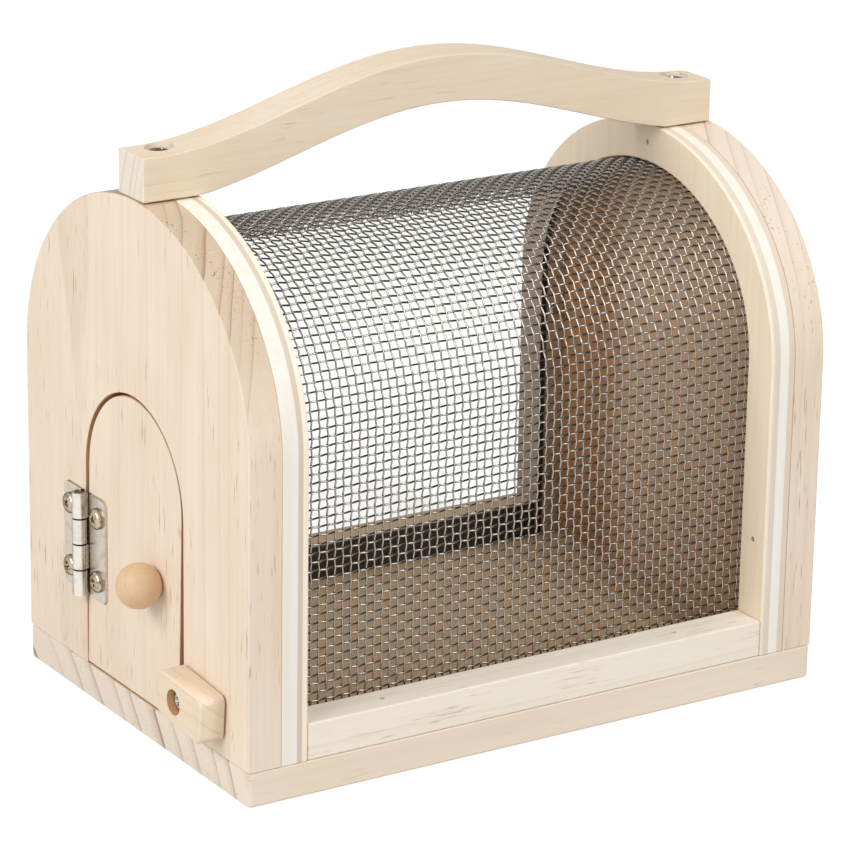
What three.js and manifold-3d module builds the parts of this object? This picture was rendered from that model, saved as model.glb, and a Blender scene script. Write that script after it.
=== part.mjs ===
// Wooden bug box: a small live-insect house with a wire mesh roof, a bow handle and a hinged arched door.
// Millimetres. X runs along the box, the door end is at low X. Y is depth, the mesh front is at low Y.
// Z is up. The origin is the centre of the base board's underside.

import * as THREE from 'three';
import * as BufferGeometryUtils from 'three/addons/utils/BufferGeometryUtils.js';
import Module from 'manifold-3d';

const wasm = await Module();
wasm.setup();

// Driving dimensions of the box
const boxLength = 190;
const boxDepth = 129;
const baseThickness = 10;
const baseCornerRadius = 1.5;
const springHeight = 97;
const archRise = 58.5;
const endThickness = 10.2;
const plyThickness = 8.2;
const archWidth = 11.4;
const railHeight = 10.8;
const glueLine = 0.1;
const arcSegments = 32;

// Wire mesh and rear window
const meshThickness = 0.9;
const meshSeatGap = 0.3;
const meshEndGap = 0.3;
const meshRearAngle = 38;
const meshBarWidth = 0.9;
const meshCellsAlong = 12;
const meshCellsAround = 18;
const windowThickness = 1;
const windowTopGap = 0.5;

// Door and its opening: the door hangs a little crooked, its top leaning to the free side
const openingWidth = 57;
const openingOffset = 0.1;
const openingSpring = 70.5;
const doorWidth = 53.8;
const doorOffset = 0.16;
const doorLean = 1.7;
const doorTopGap = 0.6;
const doorBottomGap = 0.8;
const doorBackBevel = 1.7;

// Butt hinge
const hingeLength = 30.9;
const hingeHeight = 47.6;
const leafWidth = 12.3;
const leafThickness = 0.8;
const leafCorner = 2;
const barrelRadius = 2.25;
const hingePinRadius = 1.2;
const hingePinGap = 0.05;
const knuckles = 4;
const knuckleGap = 0.3;
const hingeScrewReach = 8;
const hingeScrewSpacing = 19;

// Ball knob
const knobDiameter = 13.1;
const knobFlat = 0.9;
const knobReach = 13.2;
const knobHeight = 48.8;
const knobScrewRadius = 1.5;
const knobScrewDepth = 6;

// Turn button
const buttonLongEnd = 14.8;
const buttonShortEnd = 9;
const buttonHeight = 13.3;
const buttonThickness = 8;
const buttonCorner = 2;
const buttonFaceGap = 0.4;
const buttonFromJamb = 9.4;
const buttonCentreHeight = 23.3;
const buttonTilt = 4.5;
const buttonBoreRadius = 3.3;
const buttonBoreDepth = 3.4;

// Handle
const handleWidth = 14.2;
const handleThickness = 12.4;
const handleBow = 17.7;
const handleBowReach = 90.6;
const handleBowCentre = 0.8;
const handleFullness = 0.92;
const handleFarInset = 1.5;
const handleSteps = 32;
const handleScrewInset = 9.8;
const handleScrewFarInset = 7;
const handleScrewOffset = 2;
const handleBoreRadius = 4.2;
const handleBoreDepth = 2.8;

// Screws and brads
const screwGap = 0.3;
const panHeadRadius = 3.1;
const panHeadHeight = 1.7;
const hingeShankRadius = 1.1;
const hingeShankLength = 8;
const buttonHeadRadius = 2.8;
const buttonHeadHeight = 1.5;
const buttonShankRadius = 1.3;
const buttonShankLength = 13;
const handleHeadRadius = 3.6;
const handleHeadHeight = 2.2;
const handleShankRadius = 1.6;
const handleShankLength = 24;
const baseHeadRadius = 3.4;
const baseHeadHeight = 2.2;
const baseShankRadius = 1.6;
const baseShankLength = 26;
const baseScrewInset = 12;
const bradRadius = 0.5;
const bradHeadRadius = 0.8;
const bradHeadHeight = 0.5;
const bradLength = 14;
const bradHeight = 44.5;
const railBradLength = 14;
const railBradInset = 27;

// Staples that hold the mesh and tacks that hold the window
const stapleWire = 0.6;
const stapleWidth = 5;
const stapleLength = 6;
const stapleRows = [1, 7, 16];
const railStapleBars = [3, 9];
const tackHeadRadius = 1.5;
const tackHeadHeight = 0.5;
const tackRadius = 0.5;
const tackLength = 8;
const tackHeights = [30, 84];

// Derived places
const halfLength = boxLength / 2;
const halfDepth = boxDepth / 2;
const seatHeight = baseThickness + glueLine;
const crestHeight = springHeight + archRise;
const plyFace = halfLength - endThickness - glueLine;
const plyInner = plyFace - plyThickness;
const railLength = 2 * (plyInner - glueLine);
const innerHalfDepth = halfDepth - archWidth;
const innerRise = archRise - archWidth;
const openingRadius = openingWidth / 2;
const jambFree = openingOffset - openingRadius;
const jambHinge = openingOffset + openingRadius;
const doorRadius = doorWidth / 2;
const doorBottom = baseThickness + doorBottomGap;
const doorTop = openingSpring + openingRadius - doorTopGap;
const doorSpring = doorTop - doorRadius;
const doorSlope = Math.tan(THREE.MathUtils.degToRad(doorLean));
const doorCentreAt = (z) => openingOffset + doorOffset - (z - hingeHeight) * doorSlope;
const doorHingeEdge = doorCentreAt(hingeHeight) + doorRadius;
const pinY = (jambHinge + doorHingeEdge) / 2;
const pinX = -halfLength - barrelRadius;
const knobY = doorCentreAt(knobHeight) - doorRadius + knobReach;
const buttonY = jambFree - buttonFromJamb;
const handleSeat = crestHeight + screwGap;
const handleTop = handleSeat + handleThickness;
const archMiddle = halfDepth - archWidth / 2;
const railTop = seatHeight + railHeight;
const railBradPlaces = [-(railLength / 2 - railBradInset), railLength / 2 - railBradInset];

const woodPale = { color: 0xefdfca, roughness: 0.72, metalness: 0 };
const woodRail = { color: 0xecd9c0, roughness: 0.72, metalness: 0 };
const plyTan = { color: 0xe6d0ab, roughness: 0.68, metalness: 0 };
const woodHandle = { color: 0xf0e0c8, roughness: 0.66, metalness: 0 };
const beechTan = { color: 0xe0bf93, roughness: 0.55, metalness: 0 };
const woodButton = { color: 0xedd2ae, roughness: 0.66, metalness: 0 };
const nickel = { color: 0xc9c6c0, roughness: 0.32, metalness: 1 };
const zinc = { color: 0xb9b8b4, roughness: 0.35, metalness: 1 };
const meshWire = { color: 0xa9a9a8, roughness: 0.34, metalness: 1 };
const clearSheet = { color: 0xf4f7f7, roughness: 0.08, metalness: 0, transparent: true, opacity: 0.3 };

const model = new THREE.Group();

// Profile pieces are drawn in the YZ plane and pushed along X, so local x, y, z become world Y, Z, X.
const alongX = new THREE.Quaternion(0.5, 0.5, 0.5, 0.5);

function addPiece(name, geometry, look, parent = model) {
  const mesh = new THREE.Mesh(geometry, new THREE.MeshStandardMaterial(look));
  mesh.name = name;
  parent.add(mesh);
  return mesh;
}

function bare(geometry) {
  const copy = geometry.clone();
  copy.deleteAttribute('normal');
  copy.deleteAttribute('uv');
  return BufferGeometryUtils.mergeVertices(copy, 1e-4);
}

function toSolid(geometry) {
  const merged = bare(geometry);
  return new wasm.Manifold(new wasm.Mesh({
    numProp: 3,
    vertProperties: new Float32Array(merged.attributes.position.array),
    triVerts: new Uint32Array(merged.index.array),
  }));
}

function fromSolid(solid) {
  const data = solid.getMesh();
  const geometry = new THREE.BufferGeometry();
  geometry.setAttribute('position', new THREE.BufferAttribute(data.vertProperties, 3));
  geometry.setIndex(new THREE.BufferAttribute(data.triVerts, 1));
  return geometry;
}

function cutAway(geometry, cutters) {
  let solid = toSolid(geometry);
  for (const cutter of cutters) {
    solid = solid.subtract(toSolid(cutter));
  }
  return fromSolid(solid);
}

function joined(geometries) {
  let solid = toSolid(geometries[0]);
  for (const geometry of geometries.slice(1)) {
    solid = solid.add(toSolid(geometry));
  }
  return fromSolid(solid);
}

// A round bar between two points, used for holes.
function bar(radius, from, to, sides = 12) {
  const start = new THREE.Vector3(...from);
  const end = new THREE.Vector3(...to);
  const axis = end.clone().sub(start);
  const geometry = new THREE.CylinderGeometry(radius, radius, axis.length(), sides);
  const turn = new THREE.Quaternion().setFromUnitVectors(new THREE.Vector3(0, 1, 0), axis.clone().normalize());
  geometry.applyQuaternion(turn);
  const middle = start.add(end).multiplyScalar(0.5);
  return geometry.translate(middle.x, middle.y, middle.z);
}

// A push of a YZ profile along X, with its place kept in the geometry.
function pushed(shape, from, to, curveSegments = 12) {
  const geometry = new THREE.ExtrudeGeometry(shape, { depth: to - from, bevelEnabled: false, curveSegments });
  return geometry.applyQuaternion(alongX).translate(from, 0, 0);
}

// The arched outline of an end: straight sides to the spring line, then half an ellipse.
function archShape(halfWidth, bottom, spring, rise, centre = 0) {
  const shape = new THREE.Shape();
  shape.moveTo(centre - halfWidth, bottom);
  shape.lineTo(centre + halfWidth, bottom);
  shape.lineTo(centre + halfWidth, spring);
  shape.absellipse(centre, spring, halfWidth, rise, 0, Math.PI, false);
  shape.lineTo(centre - halfWidth, bottom);
  return shape;
}

// The same outline with a second arch cut up through it from the bottom edge.
function notchedArchShape(inner) {
  const shape = new THREE.Shape();
  shape.moveTo(inner.centre + inner.halfWidth, seatHeight);
  shape.lineTo(halfDepth, seatHeight);
  shape.lineTo(halfDepth, springHeight);
  shape.absellipse(0, springHeight, halfDepth, archRise, 0, Math.PI, false);
  shape.lineTo(-halfDepth, seatHeight);
  shape.lineTo(inner.centre - inner.halfWidth, seatHeight);
  shape.lineTo(inner.centre - inner.halfWidth, inner.spring);
  shape.absellipse(inner.centre, inner.spring, inner.halfWidth, inner.rise, Math.PI, 0, true);
  shape.lineTo(inner.centre + inner.halfWidth, seatHeight);
  return shape;
}

function roundedRect(width, height, radius) {
  const shape = new THREE.Shape();
  const x = width / 2;
  const y = height / 2;
  shape.moveTo(-x + radius, -y);
  shape.lineTo(x - radius, -y);
  shape.absarc(x - radius, -y + radius, radius, -Math.PI / 2, 0, false);
  shape.lineTo(x, y - radius);
  shape.absarc(x - radius, y - radius, radius, 0, Math.PI / 2, false);
  shape.lineTo(-x + radius, y);
  shape.absarc(-x + radius, y - radius, radius, Math.PI / 2, Math.PI, false);
  shape.lineTo(-x, -y + radius);
  shape.absarc(-x + radius, -y + radius, radius, Math.PI, 1.5 * Math.PI, false);
  return shape;
}

// A screw or brad: its head's top is at local y = 0 and its shank points to negative y.
function screwGeometry(headRadius, headHeight, shankRadius, length, style, sides = 12) {
  const profile = [];
  if (style === 'pan') {
    profile.push([0, 0], [headRadius * 0.62, 0], [headRadius * 0.92, -headHeight * 0.35]);
    profile.push([headRadius, -headHeight], [shankRadius, -headHeight]);
  } else if (style === 'flat') {
    profile.push([0, 0], [headRadius, 0], [shankRadius, -headHeight]);
  } else {
    profile.push([0, 0], [headRadius, 0], [headRadius, -headHeight], [shankRadius, -headHeight]);
  }
  profile.push([shankRadius, -length + 2 * shankRadius], [0, -length]);
  const points = profile.map(([r, y]) => new THREE.Vector2(r, y)).reverse();
  return new THREE.LatheGeometry(points, sides);
}

// Turns a screw so that its shank points along the direction given, with its head's top at the place.
function placed(geometry, place, direction) {
  const turn = new THREE.Quaternion().setFromUnitVectors(
    new THREE.Vector3(0, -1, 0), new THREE.Vector3(...direction));
  return geometry.clone().applyQuaternion(turn).translate(...place);
}

// Base board
const baseShape = roundedRect(boxLength, boxDepth, baseCornerRadius);
const baseScrewX = halfLength - endThickness / 2;
const baseScrewPlaces = [];
for (const x of [-baseScrewX, baseScrewX]) {
  for (const y of [baseScrewInset - halfDepth, halfDepth - baseScrewInset]) {
    baseScrewPlaces.push([x, y]);
  }
}
const baseHoles = [];
for (const [x, y] of baseScrewPlaces) {
  baseHoles.push(bar(baseShankRadius + screwGap, [x, y, -1], [x, y, baseThickness + 1]));
  baseHoles.push(bar(baseHeadRadius + screwGap, [x, y, -1], [x, y, baseHeadHeight + 2 * screwGap]));
}
for (const x of railBradPlaces) {
  for (const y of [-archMiddle, archMiddle]) {
    baseHoles.push(bar(bradRadius + screwGap,
      [x, y, railTop - railBradLength - screwGap], [x, y, baseThickness + 1], 8));
  }
}
const baseBlank = new THREE.ExtrudeGeometry(baseShape, { depth: baseThickness, bevelEnabled: false, curveSegments: 4 });
addPiece('base_board', cutAway(baseBlank, baseHoles), woodRail);

baseScrewPlaces.forEach(([x, y], i) => addPiece(`base_screw_${i + 1}`, placed(
  screwGeometry(baseHeadRadius, baseHeadHeight, baseShankRadius, baseShankLength, 'flat'),
  [x, y, screwGap], [0, 0, 1]), zinc));

// The path of a thin sheet that lies inside the arches: up a side, then over along the ellipse.
// Angles run from the rear spring line (0) over the crest to the front one (180).
function archPath(offset, thickness, angleFrom, angleTo) {
  const arcSteps = 60;
  const pathAt = (a, b) => {
    const path = [];
    if (angleFrom === 0) {
      path.push([a, seatHeight + glueLine]);
    }
    for (let i = 0; i <= arcSteps; i += 1) {
      const angle = THREE.MathUtils.degToRad(angleFrom + (angleTo - angleFrom) * i / arcSteps);
      path.push([a * Math.cos(angle), springHeight + b * Math.sin(angle)]);
    }
    if (angleTo === 180) {
      path.push([-a, seatHeight + glueLine]);
    }
    return path;
  };
  const a = innerHalfDepth - offset;
  const b = innerRise - offset;
  const outer = pathAt(a, b);
  const inner = pathAt(a - thickness, b - thickness);
  const reach = [0];
  for (let i = 1; i < outer.length; i += 1) {
    reach.push(reach[i - 1] + Math.hypot(outer[i][0] - outer[i - 1][0], outer[i][1] - outer[i - 1][1]));
  }
  const pointAt = (path, distance) => {
    let i = 1;
    while (i < reach.length - 1 && reach[i] < distance) {
      i += 1;
    }
    const t = (distance - reach[i - 1]) / (reach[i] - reach[i - 1]);
    return [0, 1].map((k) => path[i - 1][k] + t * (path[i][k] - path[i - 1][k]));
  };
  return {
    total: reach[reach.length - 1],
    outerAt: (distance) => pointAt(outer, distance),
    innerAt: (distance) => pointAt(inner, distance),
  };
}

// Stops of a bar, gap, bar pattern that starts and ends with a bar.
function barStops(span, count, barWidth) {
  const stops = [0];
  const pitch = (span - barWidth) / count;
  for (let i = 0; i < count; i += 1) {
    stops.push(i * pitch + barWidth, (i + 1) * pitch);
  }
  stops.push(span);
  return stops;
}

// A closed sheet over a grid: cells whose row and column are both odd are gaps.
function gridSheet(along, outer, inner) {
  const positions = [];
  const faces = [];
  const columns = along.length;
  const vertex = (i, j, layer) => 2 * (j * columns + i) + layer;
  outer.forEach((point, j) => along.forEach((x) => {
    positions.push(x, ...point, x, ...inner[j]);
  }));
  const filled = (i, j) => i >= 0 && j >= 0 && i < columns - 1 && j < outer.length - 1
    && !(i % 2 === 1 && j % 2 === 1);
  const quad = (a, b, c, d) => faces.push(a, c, b, a, d, c);
  for (let j = 0; j < outer.length - 1; j += 1) {
    for (let i = 0; i < columns - 1; i += 1) {
      if (!filled(i, j)) {
        continue;
      }
      quad(vertex(i, j, 0), vertex(i + 1, j, 0), vertex(i + 1, j + 1, 0), vertex(i, j + 1, 0));
      quad(vertex(i, j, 1), vertex(i, j + 1, 1), vertex(i + 1, j + 1, 1), vertex(i + 1, j, 1));
      if (!filled(i, j - 1)) {
        quad(vertex(i, j, 0), vertex(i, j, 1), vertex(i + 1, j, 1), vertex(i + 1, j, 0));
      }
      if (!filled(i, j + 1)) {
        quad(vertex(i, j + 1, 0), vertex(i + 1, j + 1, 0), vertex(i + 1, j + 1, 1), vertex(i, j + 1, 1));
      }
      if (!filled(i - 1, j)) {
        quad(vertex(i, j, 0), vertex(i, j + 1, 0), vertex(i, j + 1, 1), vertex(i, j, 1));
      }
      if (!filled(i + 1, j)) {
        quad(vertex(i + 1, j, 0), vertex(i + 1, j, 1), vertex(i + 1, j + 1, 1), vertex(i + 1, j + 1, 0));
      }
    }
  }
  // Points in the middle of no cell are left out by welding and indexing only what the faces use.
  const geometry = new THREE.BufferGeometry();
  geometry.setAttribute('position', new THREE.Float32BufferAttribute(positions, 3));
  geometry.setIndex(faces);
  return geometry;
}

const sheetLength = 2 * (plyFace - meshEndGap);
const meshPath = archPath(meshSeatGap, meshThickness, meshRearAngle, 180);
const meshRows = barStops(meshPath.total, meshCellsAround, meshBarWidth);
const meshColumns = barStops(sheetLength, meshCellsAlong, meshBarWidth).map((stop) => stop - sheetLength / 2);

// A staple straddles one bar of the mesh: its crown lies inside the mesh and its legs point outwards.
const plyMiddle = (plyFace + plyInner) / 2;
const stapleLegs = stapleWidth / 2 - stapleWire / 2;
const staplePlaces = [];
for (const side of [-1, 1]) {
  stapleRows.forEach((row, i) => {
    const middle = (meshRows[2 * row] + meshRows[2 * row + 1]) / 2;
    const [y, z] = meshPath.innerAt(middle);
    const [outerY, outerZ] = meshPath.outerAt(middle);
    const out = new THREE.Vector3(0, outerY - y, outerZ - z).normalize();
    staplePlaces.push({
      name: `mesh_staple_${side < 0 ? 'door_end' : 'plain_end'}_${i + 1}`, side,
      place: new THREE.Vector3(side * plyMiddle, y, z), out, across: new THREE.Vector3(0, -out.z, out.y),
    });
  });
}
railStapleBars.forEach((column, i) => {
  const x = (meshColumns[2 * column] + meshColumns[2 * column + 1]) / 2;
  const [y] = meshPath.innerAt(meshPath.total);
  staplePlaces.push({
    name: `rail_staple_${i + 1}`, side: 0, place: new THREE.Vector3(x, y, seatHeight + railHeight / 2),
    out: new THREE.Vector3(0, -1, 0), across: new THREE.Vector3(1, 0, 0),
  });
});

function stapleLegLines({ place, out, across }, ends = 0) {
  const crown = place.clone().addScaledVector(out, -screwGap - stapleWire);
  const reach = screwGap + stapleWire + meshThickness + meshSeatGap + stapleLength + ends;
  return [-1, 1].map((side) => {
    const from = crown.clone().addScaledVector(across, side * stapleLegs);
    return [from.toArray(), from.clone().addScaledVector(out, reach).toArray()];
  });
}

function stapleGeometry(staple) {
  const legs = stapleLegLines(staple).map(([from, to]) => bar(stapleWire / 2, from, to, 6));
  const crown = staple.place.clone().addScaledVector(staple.out, -screwGap - stapleWire / 2);
  const reach = stapleWidth / 2;
  legs.push(bar(stapleWire / 2, crown.clone().addScaledVector(staple.across, -reach).toArray(),
    crown.clone().addScaledVector(staple.across, reach).toArray(), 6));
  return joined(legs);
}

function stapleHoles(side) {
  return staplePlaces.filter((staple) => staple.side === side).flatMap((staple) => stapleLegLines(
    staple, screwGap).map(([from, to]) => bar(stapleWire / 2 + screwGap, from, to, 6)));
}

// Tacks through the window sheet into the arches
function tackPlaces(side) {
  return tackHeights.map((z) => [side * plyMiddle, innerHalfDepth - meshSeatGap - windowThickness, z]);
}

function tackHoles(side) {
  return tackPlaces(side).map(([x, y, z]) => bar(
    tackRadius + screwGap, [x, y, z], [x, y + tackLength + screwGap, z], 8));
}

for (const staple of staplePlaces) {
  addPiece(staple.name, stapleGeometry(staple), zinc);
}
for (const [name, side] of [['door_end', -1], ['plain_end', 1]]) {
  tackPlaces(side).forEach(([x, y, z], i) => addPiece(`window_tack_${name}_${i + 1}`, placed(
    screwGeometry(tackHeadRadius, tackHeadHeight, tackRadius, tackLength, 'brad', 8),
    [x, y - tackHeadHeight - glueLine, z], [0, 1, 0]), zinc));
}

// Places of the handle screws and of the brads through each plywood arch
const handleEnd = halfLength - handleFarInset;
const handleScrewPlaces = [handleScrewInset - halfLength, handleEnd - handleScrewFarInset];
const handleScrewFloor = handleTop - handleBoreDepth;
const bradPlaces = [[-archMiddle, bradHeight], [archMiddle, bradHeight], [0, crestHeight - archWidth / 2]];
const bradHead = plyInner + bradHeadHeight;

function endHoles(side) {
  const holes = baseScrewPlaces.filter(([x]) => Math.sign(x) === side).map(([x, y]) => bar(
    baseShankRadius + screwGap, [x, y, baseThickness - 1], [x, y, baseShankLength + 2 * screwGap]));
  for (const [y, z] of bradPlaces) {
    holes.push(bar(bradRadius + screwGap, [side * (plyInner - 1), y, z], [side * (plyInner + bradLength + 1), y, z], 8));
  }
  const x = handleScrewPlaces[side < 0 ? 0 : 1];
  holes.push(bar(handleShankRadius + screwGap,
    [x, handleScrewOffset, crestHeight + 1], [x, handleScrewOffset, handleScrewFloor - handleShankLength - 1]));
  return holes;
}

function plyHoles(side) {
  const holes = [...endHoles(side), ...stapleHoles(side), ...tackHoles(side)];
  for (const [y, z] of bradPlaces) {
    const from = side * (plyInner - 1);
    const to = side * (plyInner + bradHeadHeight + screwGap);
    holes.push(bar(bradHeadRadius + screwGap, [from, y, z], [to, y, z], 8));
  }
  return holes;
}

// End boards: solid pine, arched on top, the near one cut up from the bottom for the door
const openingNotch = {
  centre: openingOffset, halfWidth: openingRadius, spring: openingSpring, rise: openingRadius,
};
const hingeScrewZ = [hingeHeight - hingeScrewSpacing / 2, hingeHeight + hingeScrewSpacing / 2];
const frameScrewY = pinY + hingeScrewReach;
const doorScrewY = pinY - hingeScrewReach;
const screwHeadFace = -halfLength - leafThickness - panHeadHeight - screwGap;

function hingeScrewHole(y, z) {
  return bar(hingeShankRadius + screwGap, [screwHeadFace, y, z], [screwHeadFace + hingeShankLength + 3, y, z], 12);
}

const doorEndHoles = endHoles(-1);
for (const z of hingeScrewZ) {
  doorEndHoles.push(hingeScrewHole(frameScrewY, z));
}
doorEndHoles.push(bar(buttonShankRadius + screwGap,
  [-halfLength - 1, buttonY, buttonCentreHeight],
  [-halfLength + buttonShankLength - buttonThickness + buttonBoreDepth + 1, buttonY, buttonCentreHeight], 12));
const doorEndBlank = pushed(notchedArchShape(openingNotch), -halfLength, -halfLength + endThickness, arcSegments);
addPiece('end_board_door', cutAway(doorEndBlank, doorEndHoles), woodPale);

const plainEndBlank = pushed(
  archShape(halfDepth, seatHeight, springHeight, archRise), halfLength - endThickness, halfLength, arcSegments);
addPiece('end_board_plain', cutAway(plainEndBlank, endHoles(1)), woodPale);

// Plywood arches inside the ends: three layers of veneer that carry the rails and the mesh
const archNotch = { centre: 0, halfWidth: innerHalfDepth, spring: springHeight, rise: innerRise };
for (const [name, side] of [['ply_arch_door_end', -1], ['ply_arch_plain_end', 1]]) {
  const near = side < 0 ? -plyFace : plyInner;
  const blank = pushed(notchedArchShape(archNotch), near, near + plyThickness, arcSegments);
  addPiece(name, cutAway(blank, plyHoles(side)), plyTan);
}

for (const [name, side] of [['door_end', -1], ['plain_end', 1]]) {
  bradPlaces.forEach(([y, z], i) => addPiece(`ply_brad_${name}_${i + 1}`, placed(
    screwGeometry(bradHeadRadius, bradHeadHeight, bradRadius, bradLength, 'brad', 8),
    [side * plyInner, y, z], [side, 0, 0]), zinc));
}

// Rails between the arches, front and rear, each held by brads from above
for (const [name, side] of [['front', -1], ['rear', 1]]) {
  const y = side * archMiddle;
  const blank = new THREE.BoxGeometry(railLength, archWidth, railHeight);
  blank.translate(0, y, seatHeight + railHeight / 2);
  const holes = side < 0 ? stapleHoles(0) : [];
  railBradPlaces.forEach((x, i) => {
    holes.push(bar(bradRadius + screwGap, [x, y, railTop + 1], [x, y, seatHeight - 1], 8));
    holes.push(bar(bradHeadRadius + screwGap, [x, y, railTop + 1], [x, y, railTop - bradHeadHeight - screwGap], 8));
    addPiece(`${name}_rail_brad_${i + 1}`, placed(
      screwGeometry(bradHeadRadius, bradHeadHeight, bradRadius, railBradLength, 'brad', 8),
      [x, y, railTop], [0, 0, -1]), zinc);
  });
  addPiece(`${name}_rail`, cutAway(blank, holes), woodRail);
}

// Woven wire mesh, drawn here as bars with square gaps
addPiece('wire_mesh', gridSheet(
  meshColumns, meshRows.map(meshPath.outerAt), meshRows.map(meshPath.innerAt)), meshWire);

// Clear sheet window at the rear, from the base up to the mesh's edge
const windowSteps = 14;
const windowTopAngle = meshRearAngle - THREE.MathUtils.radToDeg(windowTopGap / innerHalfDepth);
const windowPath = archPath(meshSeatGap, windowThickness, 0, windowTopAngle);
const windowRows = Array.from({ length: windowSteps + 1 }, (_, i) => windowPath.total * i / windowSteps);
const windowBlank = gridSheet([-sheetLength / 2, sheetLength / 2],
  windowRows.map(windowPath.outerAt), windowRows.map(windowPath.innerAt));
const windowHoles = [-1, 1].flatMap((side) => tackPlaces(side).map(([x, y, z]) => bar(
  tackRadius + screwGap, [x, y - 2, z], [x, y + windowThickness + 2, z], 8)));
addPiece('rear_window', cutAway(windowBlank, windowHoles), clearSheet);

// Bow handle: flat seats on the arches' crests and one long rise between them
function handleRise(x) {
  const away = Math.min(Math.abs(x - handleBowCentre), handleBowReach);
  const share = (1 + Math.cos(Math.PI * away / handleBowReach)) / 2;
  return handleBow * share ** handleFullness;
}

const handleShape = new THREE.Shape();
handleShape.moveTo(-halfLength, handleSeat);
const seatEnd = plyInner;
for (let i = 0; i <= handleSteps; i += 1) {
  const x = -seatEnd + 2 * seatEnd * i / handleSteps;
  const under = Math.max(0, handleRise(x) - handleRise(-seatEnd));
  handleShape.lineTo(x, handleSeat + under);
}
handleShape.lineTo(handleEnd, handleSeat);
for (let i = 0; i <= handleSteps; i += 1) {
  const x = handleEnd - (handleEnd + halfLength) * i / handleSteps;
  handleShape.lineTo(x, handleTop + handleRise(x));
}
const handleBlank = new THREE.ExtrudeGeometry(handleShape, { depth: handleWidth, bevelEnabled: false });
handleBlank.rotateX(Math.PI / 2).translate(0, handleWidth / 2, 0);
const handleHoles = [];
const handleScrews = [];
for (const x of handleScrewPlaces) {
  const y = handleScrewOffset;
  handleHoles.push(bar(handleBoreRadius, [x, y, handleScrewFloor], [x, y, handleTop + handleBow], 20));
  handleHoles.push(bar(handleShankRadius + screwGap, [x, y, handleSeat - 1], [x, y, handleTop], 16));
  handleScrews.push(placed(
    screwGeometry(handleHeadRadius, handleHeadHeight, handleShankRadius, handleShankLength, 'pan'),
    [x, y, handleScrewFloor + handleHeadHeight + 0.1], [0, 0, -1]));
}
addPiece('handle', cutAway(handleBlank, handleHoles), woodHandle);
addPiece('handle_screw_door_end', handleScrews[0], zinc);
addPiece('handle_screw_plain_end', handleScrews[1], zinc);

// Door panel, its ball knob and the screw that holds the knob from inside
// The free side is bevelled towards the back, so that the door clears its frame as it swings out.
function doorShape(inset) {
  const radius = doorRadius - inset / 2;
  const centre = doorCentreAt(doorSpring) + inset / 2;
  const lean = Math.atan(doorSlope);
  const cornerAt = (side) => {
    const edgeZ = doorSpring + side * radius * Math.sin(lean);
    return centre + side * radius * Math.cos(lean) + (edgeZ - doorBottom) * doorSlope;
  };
  const shape = new THREE.Shape();
  shape.moveTo(cornerAt(-1), doorBottom);
  shape.lineTo(cornerAt(1), doorBottom);
  shape.lineTo(centre + radius * Math.cos(lean), doorSpring + radius * Math.sin(lean));
  shape.absarc(centre, doorSpring, radius, lean, Math.PI + lean, false);
  return shape;
}

// A closed solid between two outlines of the same number of points, at two places along X.
function lofted(frontShape, backShape, from, to, segments) {
  const [front, back] = [frontShape, backShape].map((shape) => shape.extractPoints(segments).shape);
  const count = front.length;
  const positions = [];
  front.forEach((point) => positions.push(from, point.x, point.y));
  back.forEach((point) => positions.push(to, point.x, point.y));
  const faces = [];
  for (const [a, b, c] of THREE.ShapeUtils.triangulateShape(front, [])) {
    faces.push(a, c, b);
    faces.push(count + a, count + b, count + c);
  }
  for (let i = 0; i < count; i += 1) {
    const next = (i + 1) % count;
    faces.push(i, next, count + next);
    faces.push(i, count + next, count + i);
  }
  const geometry = new THREE.BufferGeometry();
  geometry.setAttribute('position', new THREE.Float32BufferAttribute(positions, 3));
  geometry.setIndex(faces);
  return geometry;
}

const doorBlank = lofted(doorShape(0), doorShape(doorBackBevel), -halfLength, -halfLength + endThickness, arcSegments);
const knobScrewEnd = -halfLength - knobScrewDepth;
const knobBore = bar(knobScrewRadius + screwGap, [-halfLength - 1, knobY, knobHeight],
  [-halfLength + endThickness + 1, knobY, knobHeight]);
const knobHeadBore = bar(handleHeadRadius + screwGap, [-halfLength + endThickness + 1, knobY, knobHeight],
  [-halfLength + endThickness - handleHeadHeight - screwGap, knobY, knobHeight]);
const doorHoles = [knobBore, knobHeadBore, ...hingeScrewZ.map((z) => hingeScrewHole(doorScrewY, z))];
addPiece('door_panel', cutAway(doorBlank, doorHoles), woodPale);

const knobRadius = knobDiameter / 2;
const knobProfile = [];
const knobArcSteps = 14;
const flatAngle = Math.acos(1 - knobFlat / knobRadius);
knobProfile.push(new THREE.Vector2(0, 0));
for (let i = 0; i <= knobArcSteps; i += 1) {
  const angle = flatAngle + (Math.PI - flatAngle) * i / knobArcSteps;
  knobProfile.push(new THREE.Vector2(
    i === knobArcSteps ? 0 : knobRadius * Math.sin(angle), knobRadius * (Math.cos(flatAngle) - Math.cos(angle))));
}
const knobBall = new THREE.LatheGeometry(knobProfile, 24);
knobBall.rotateZ(Math.PI / 2).translate(-halfLength - glueLine, knobY, knobHeight);
addPiece('door_knob', cutAway(knobBall, [
  bar(knobScrewRadius + screwGap, [-halfLength + 1, knobY, knobHeight], [knobScrewEnd - screwGap, knobY, knobHeight]),
]), beechTan);
const knobScrewHead = -halfLength + endThickness - screwGap;
addPiece('knob_screw', placed(
  screwGeometry(handleHeadRadius, handleHeadHeight, knobScrewRadius, knobScrewHead - knobScrewEnd, 'flat'),
  [knobScrewHead, knobY, knobHeight], [-1, 0, 0]), zinc);

// Butt hinge: two leaves on the outer faces, knuckles in turn round one pin
const hingeLow = hingeHeight - hingeLength / 2;
const knuckleLength = hingeLength / knuckles;

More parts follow.
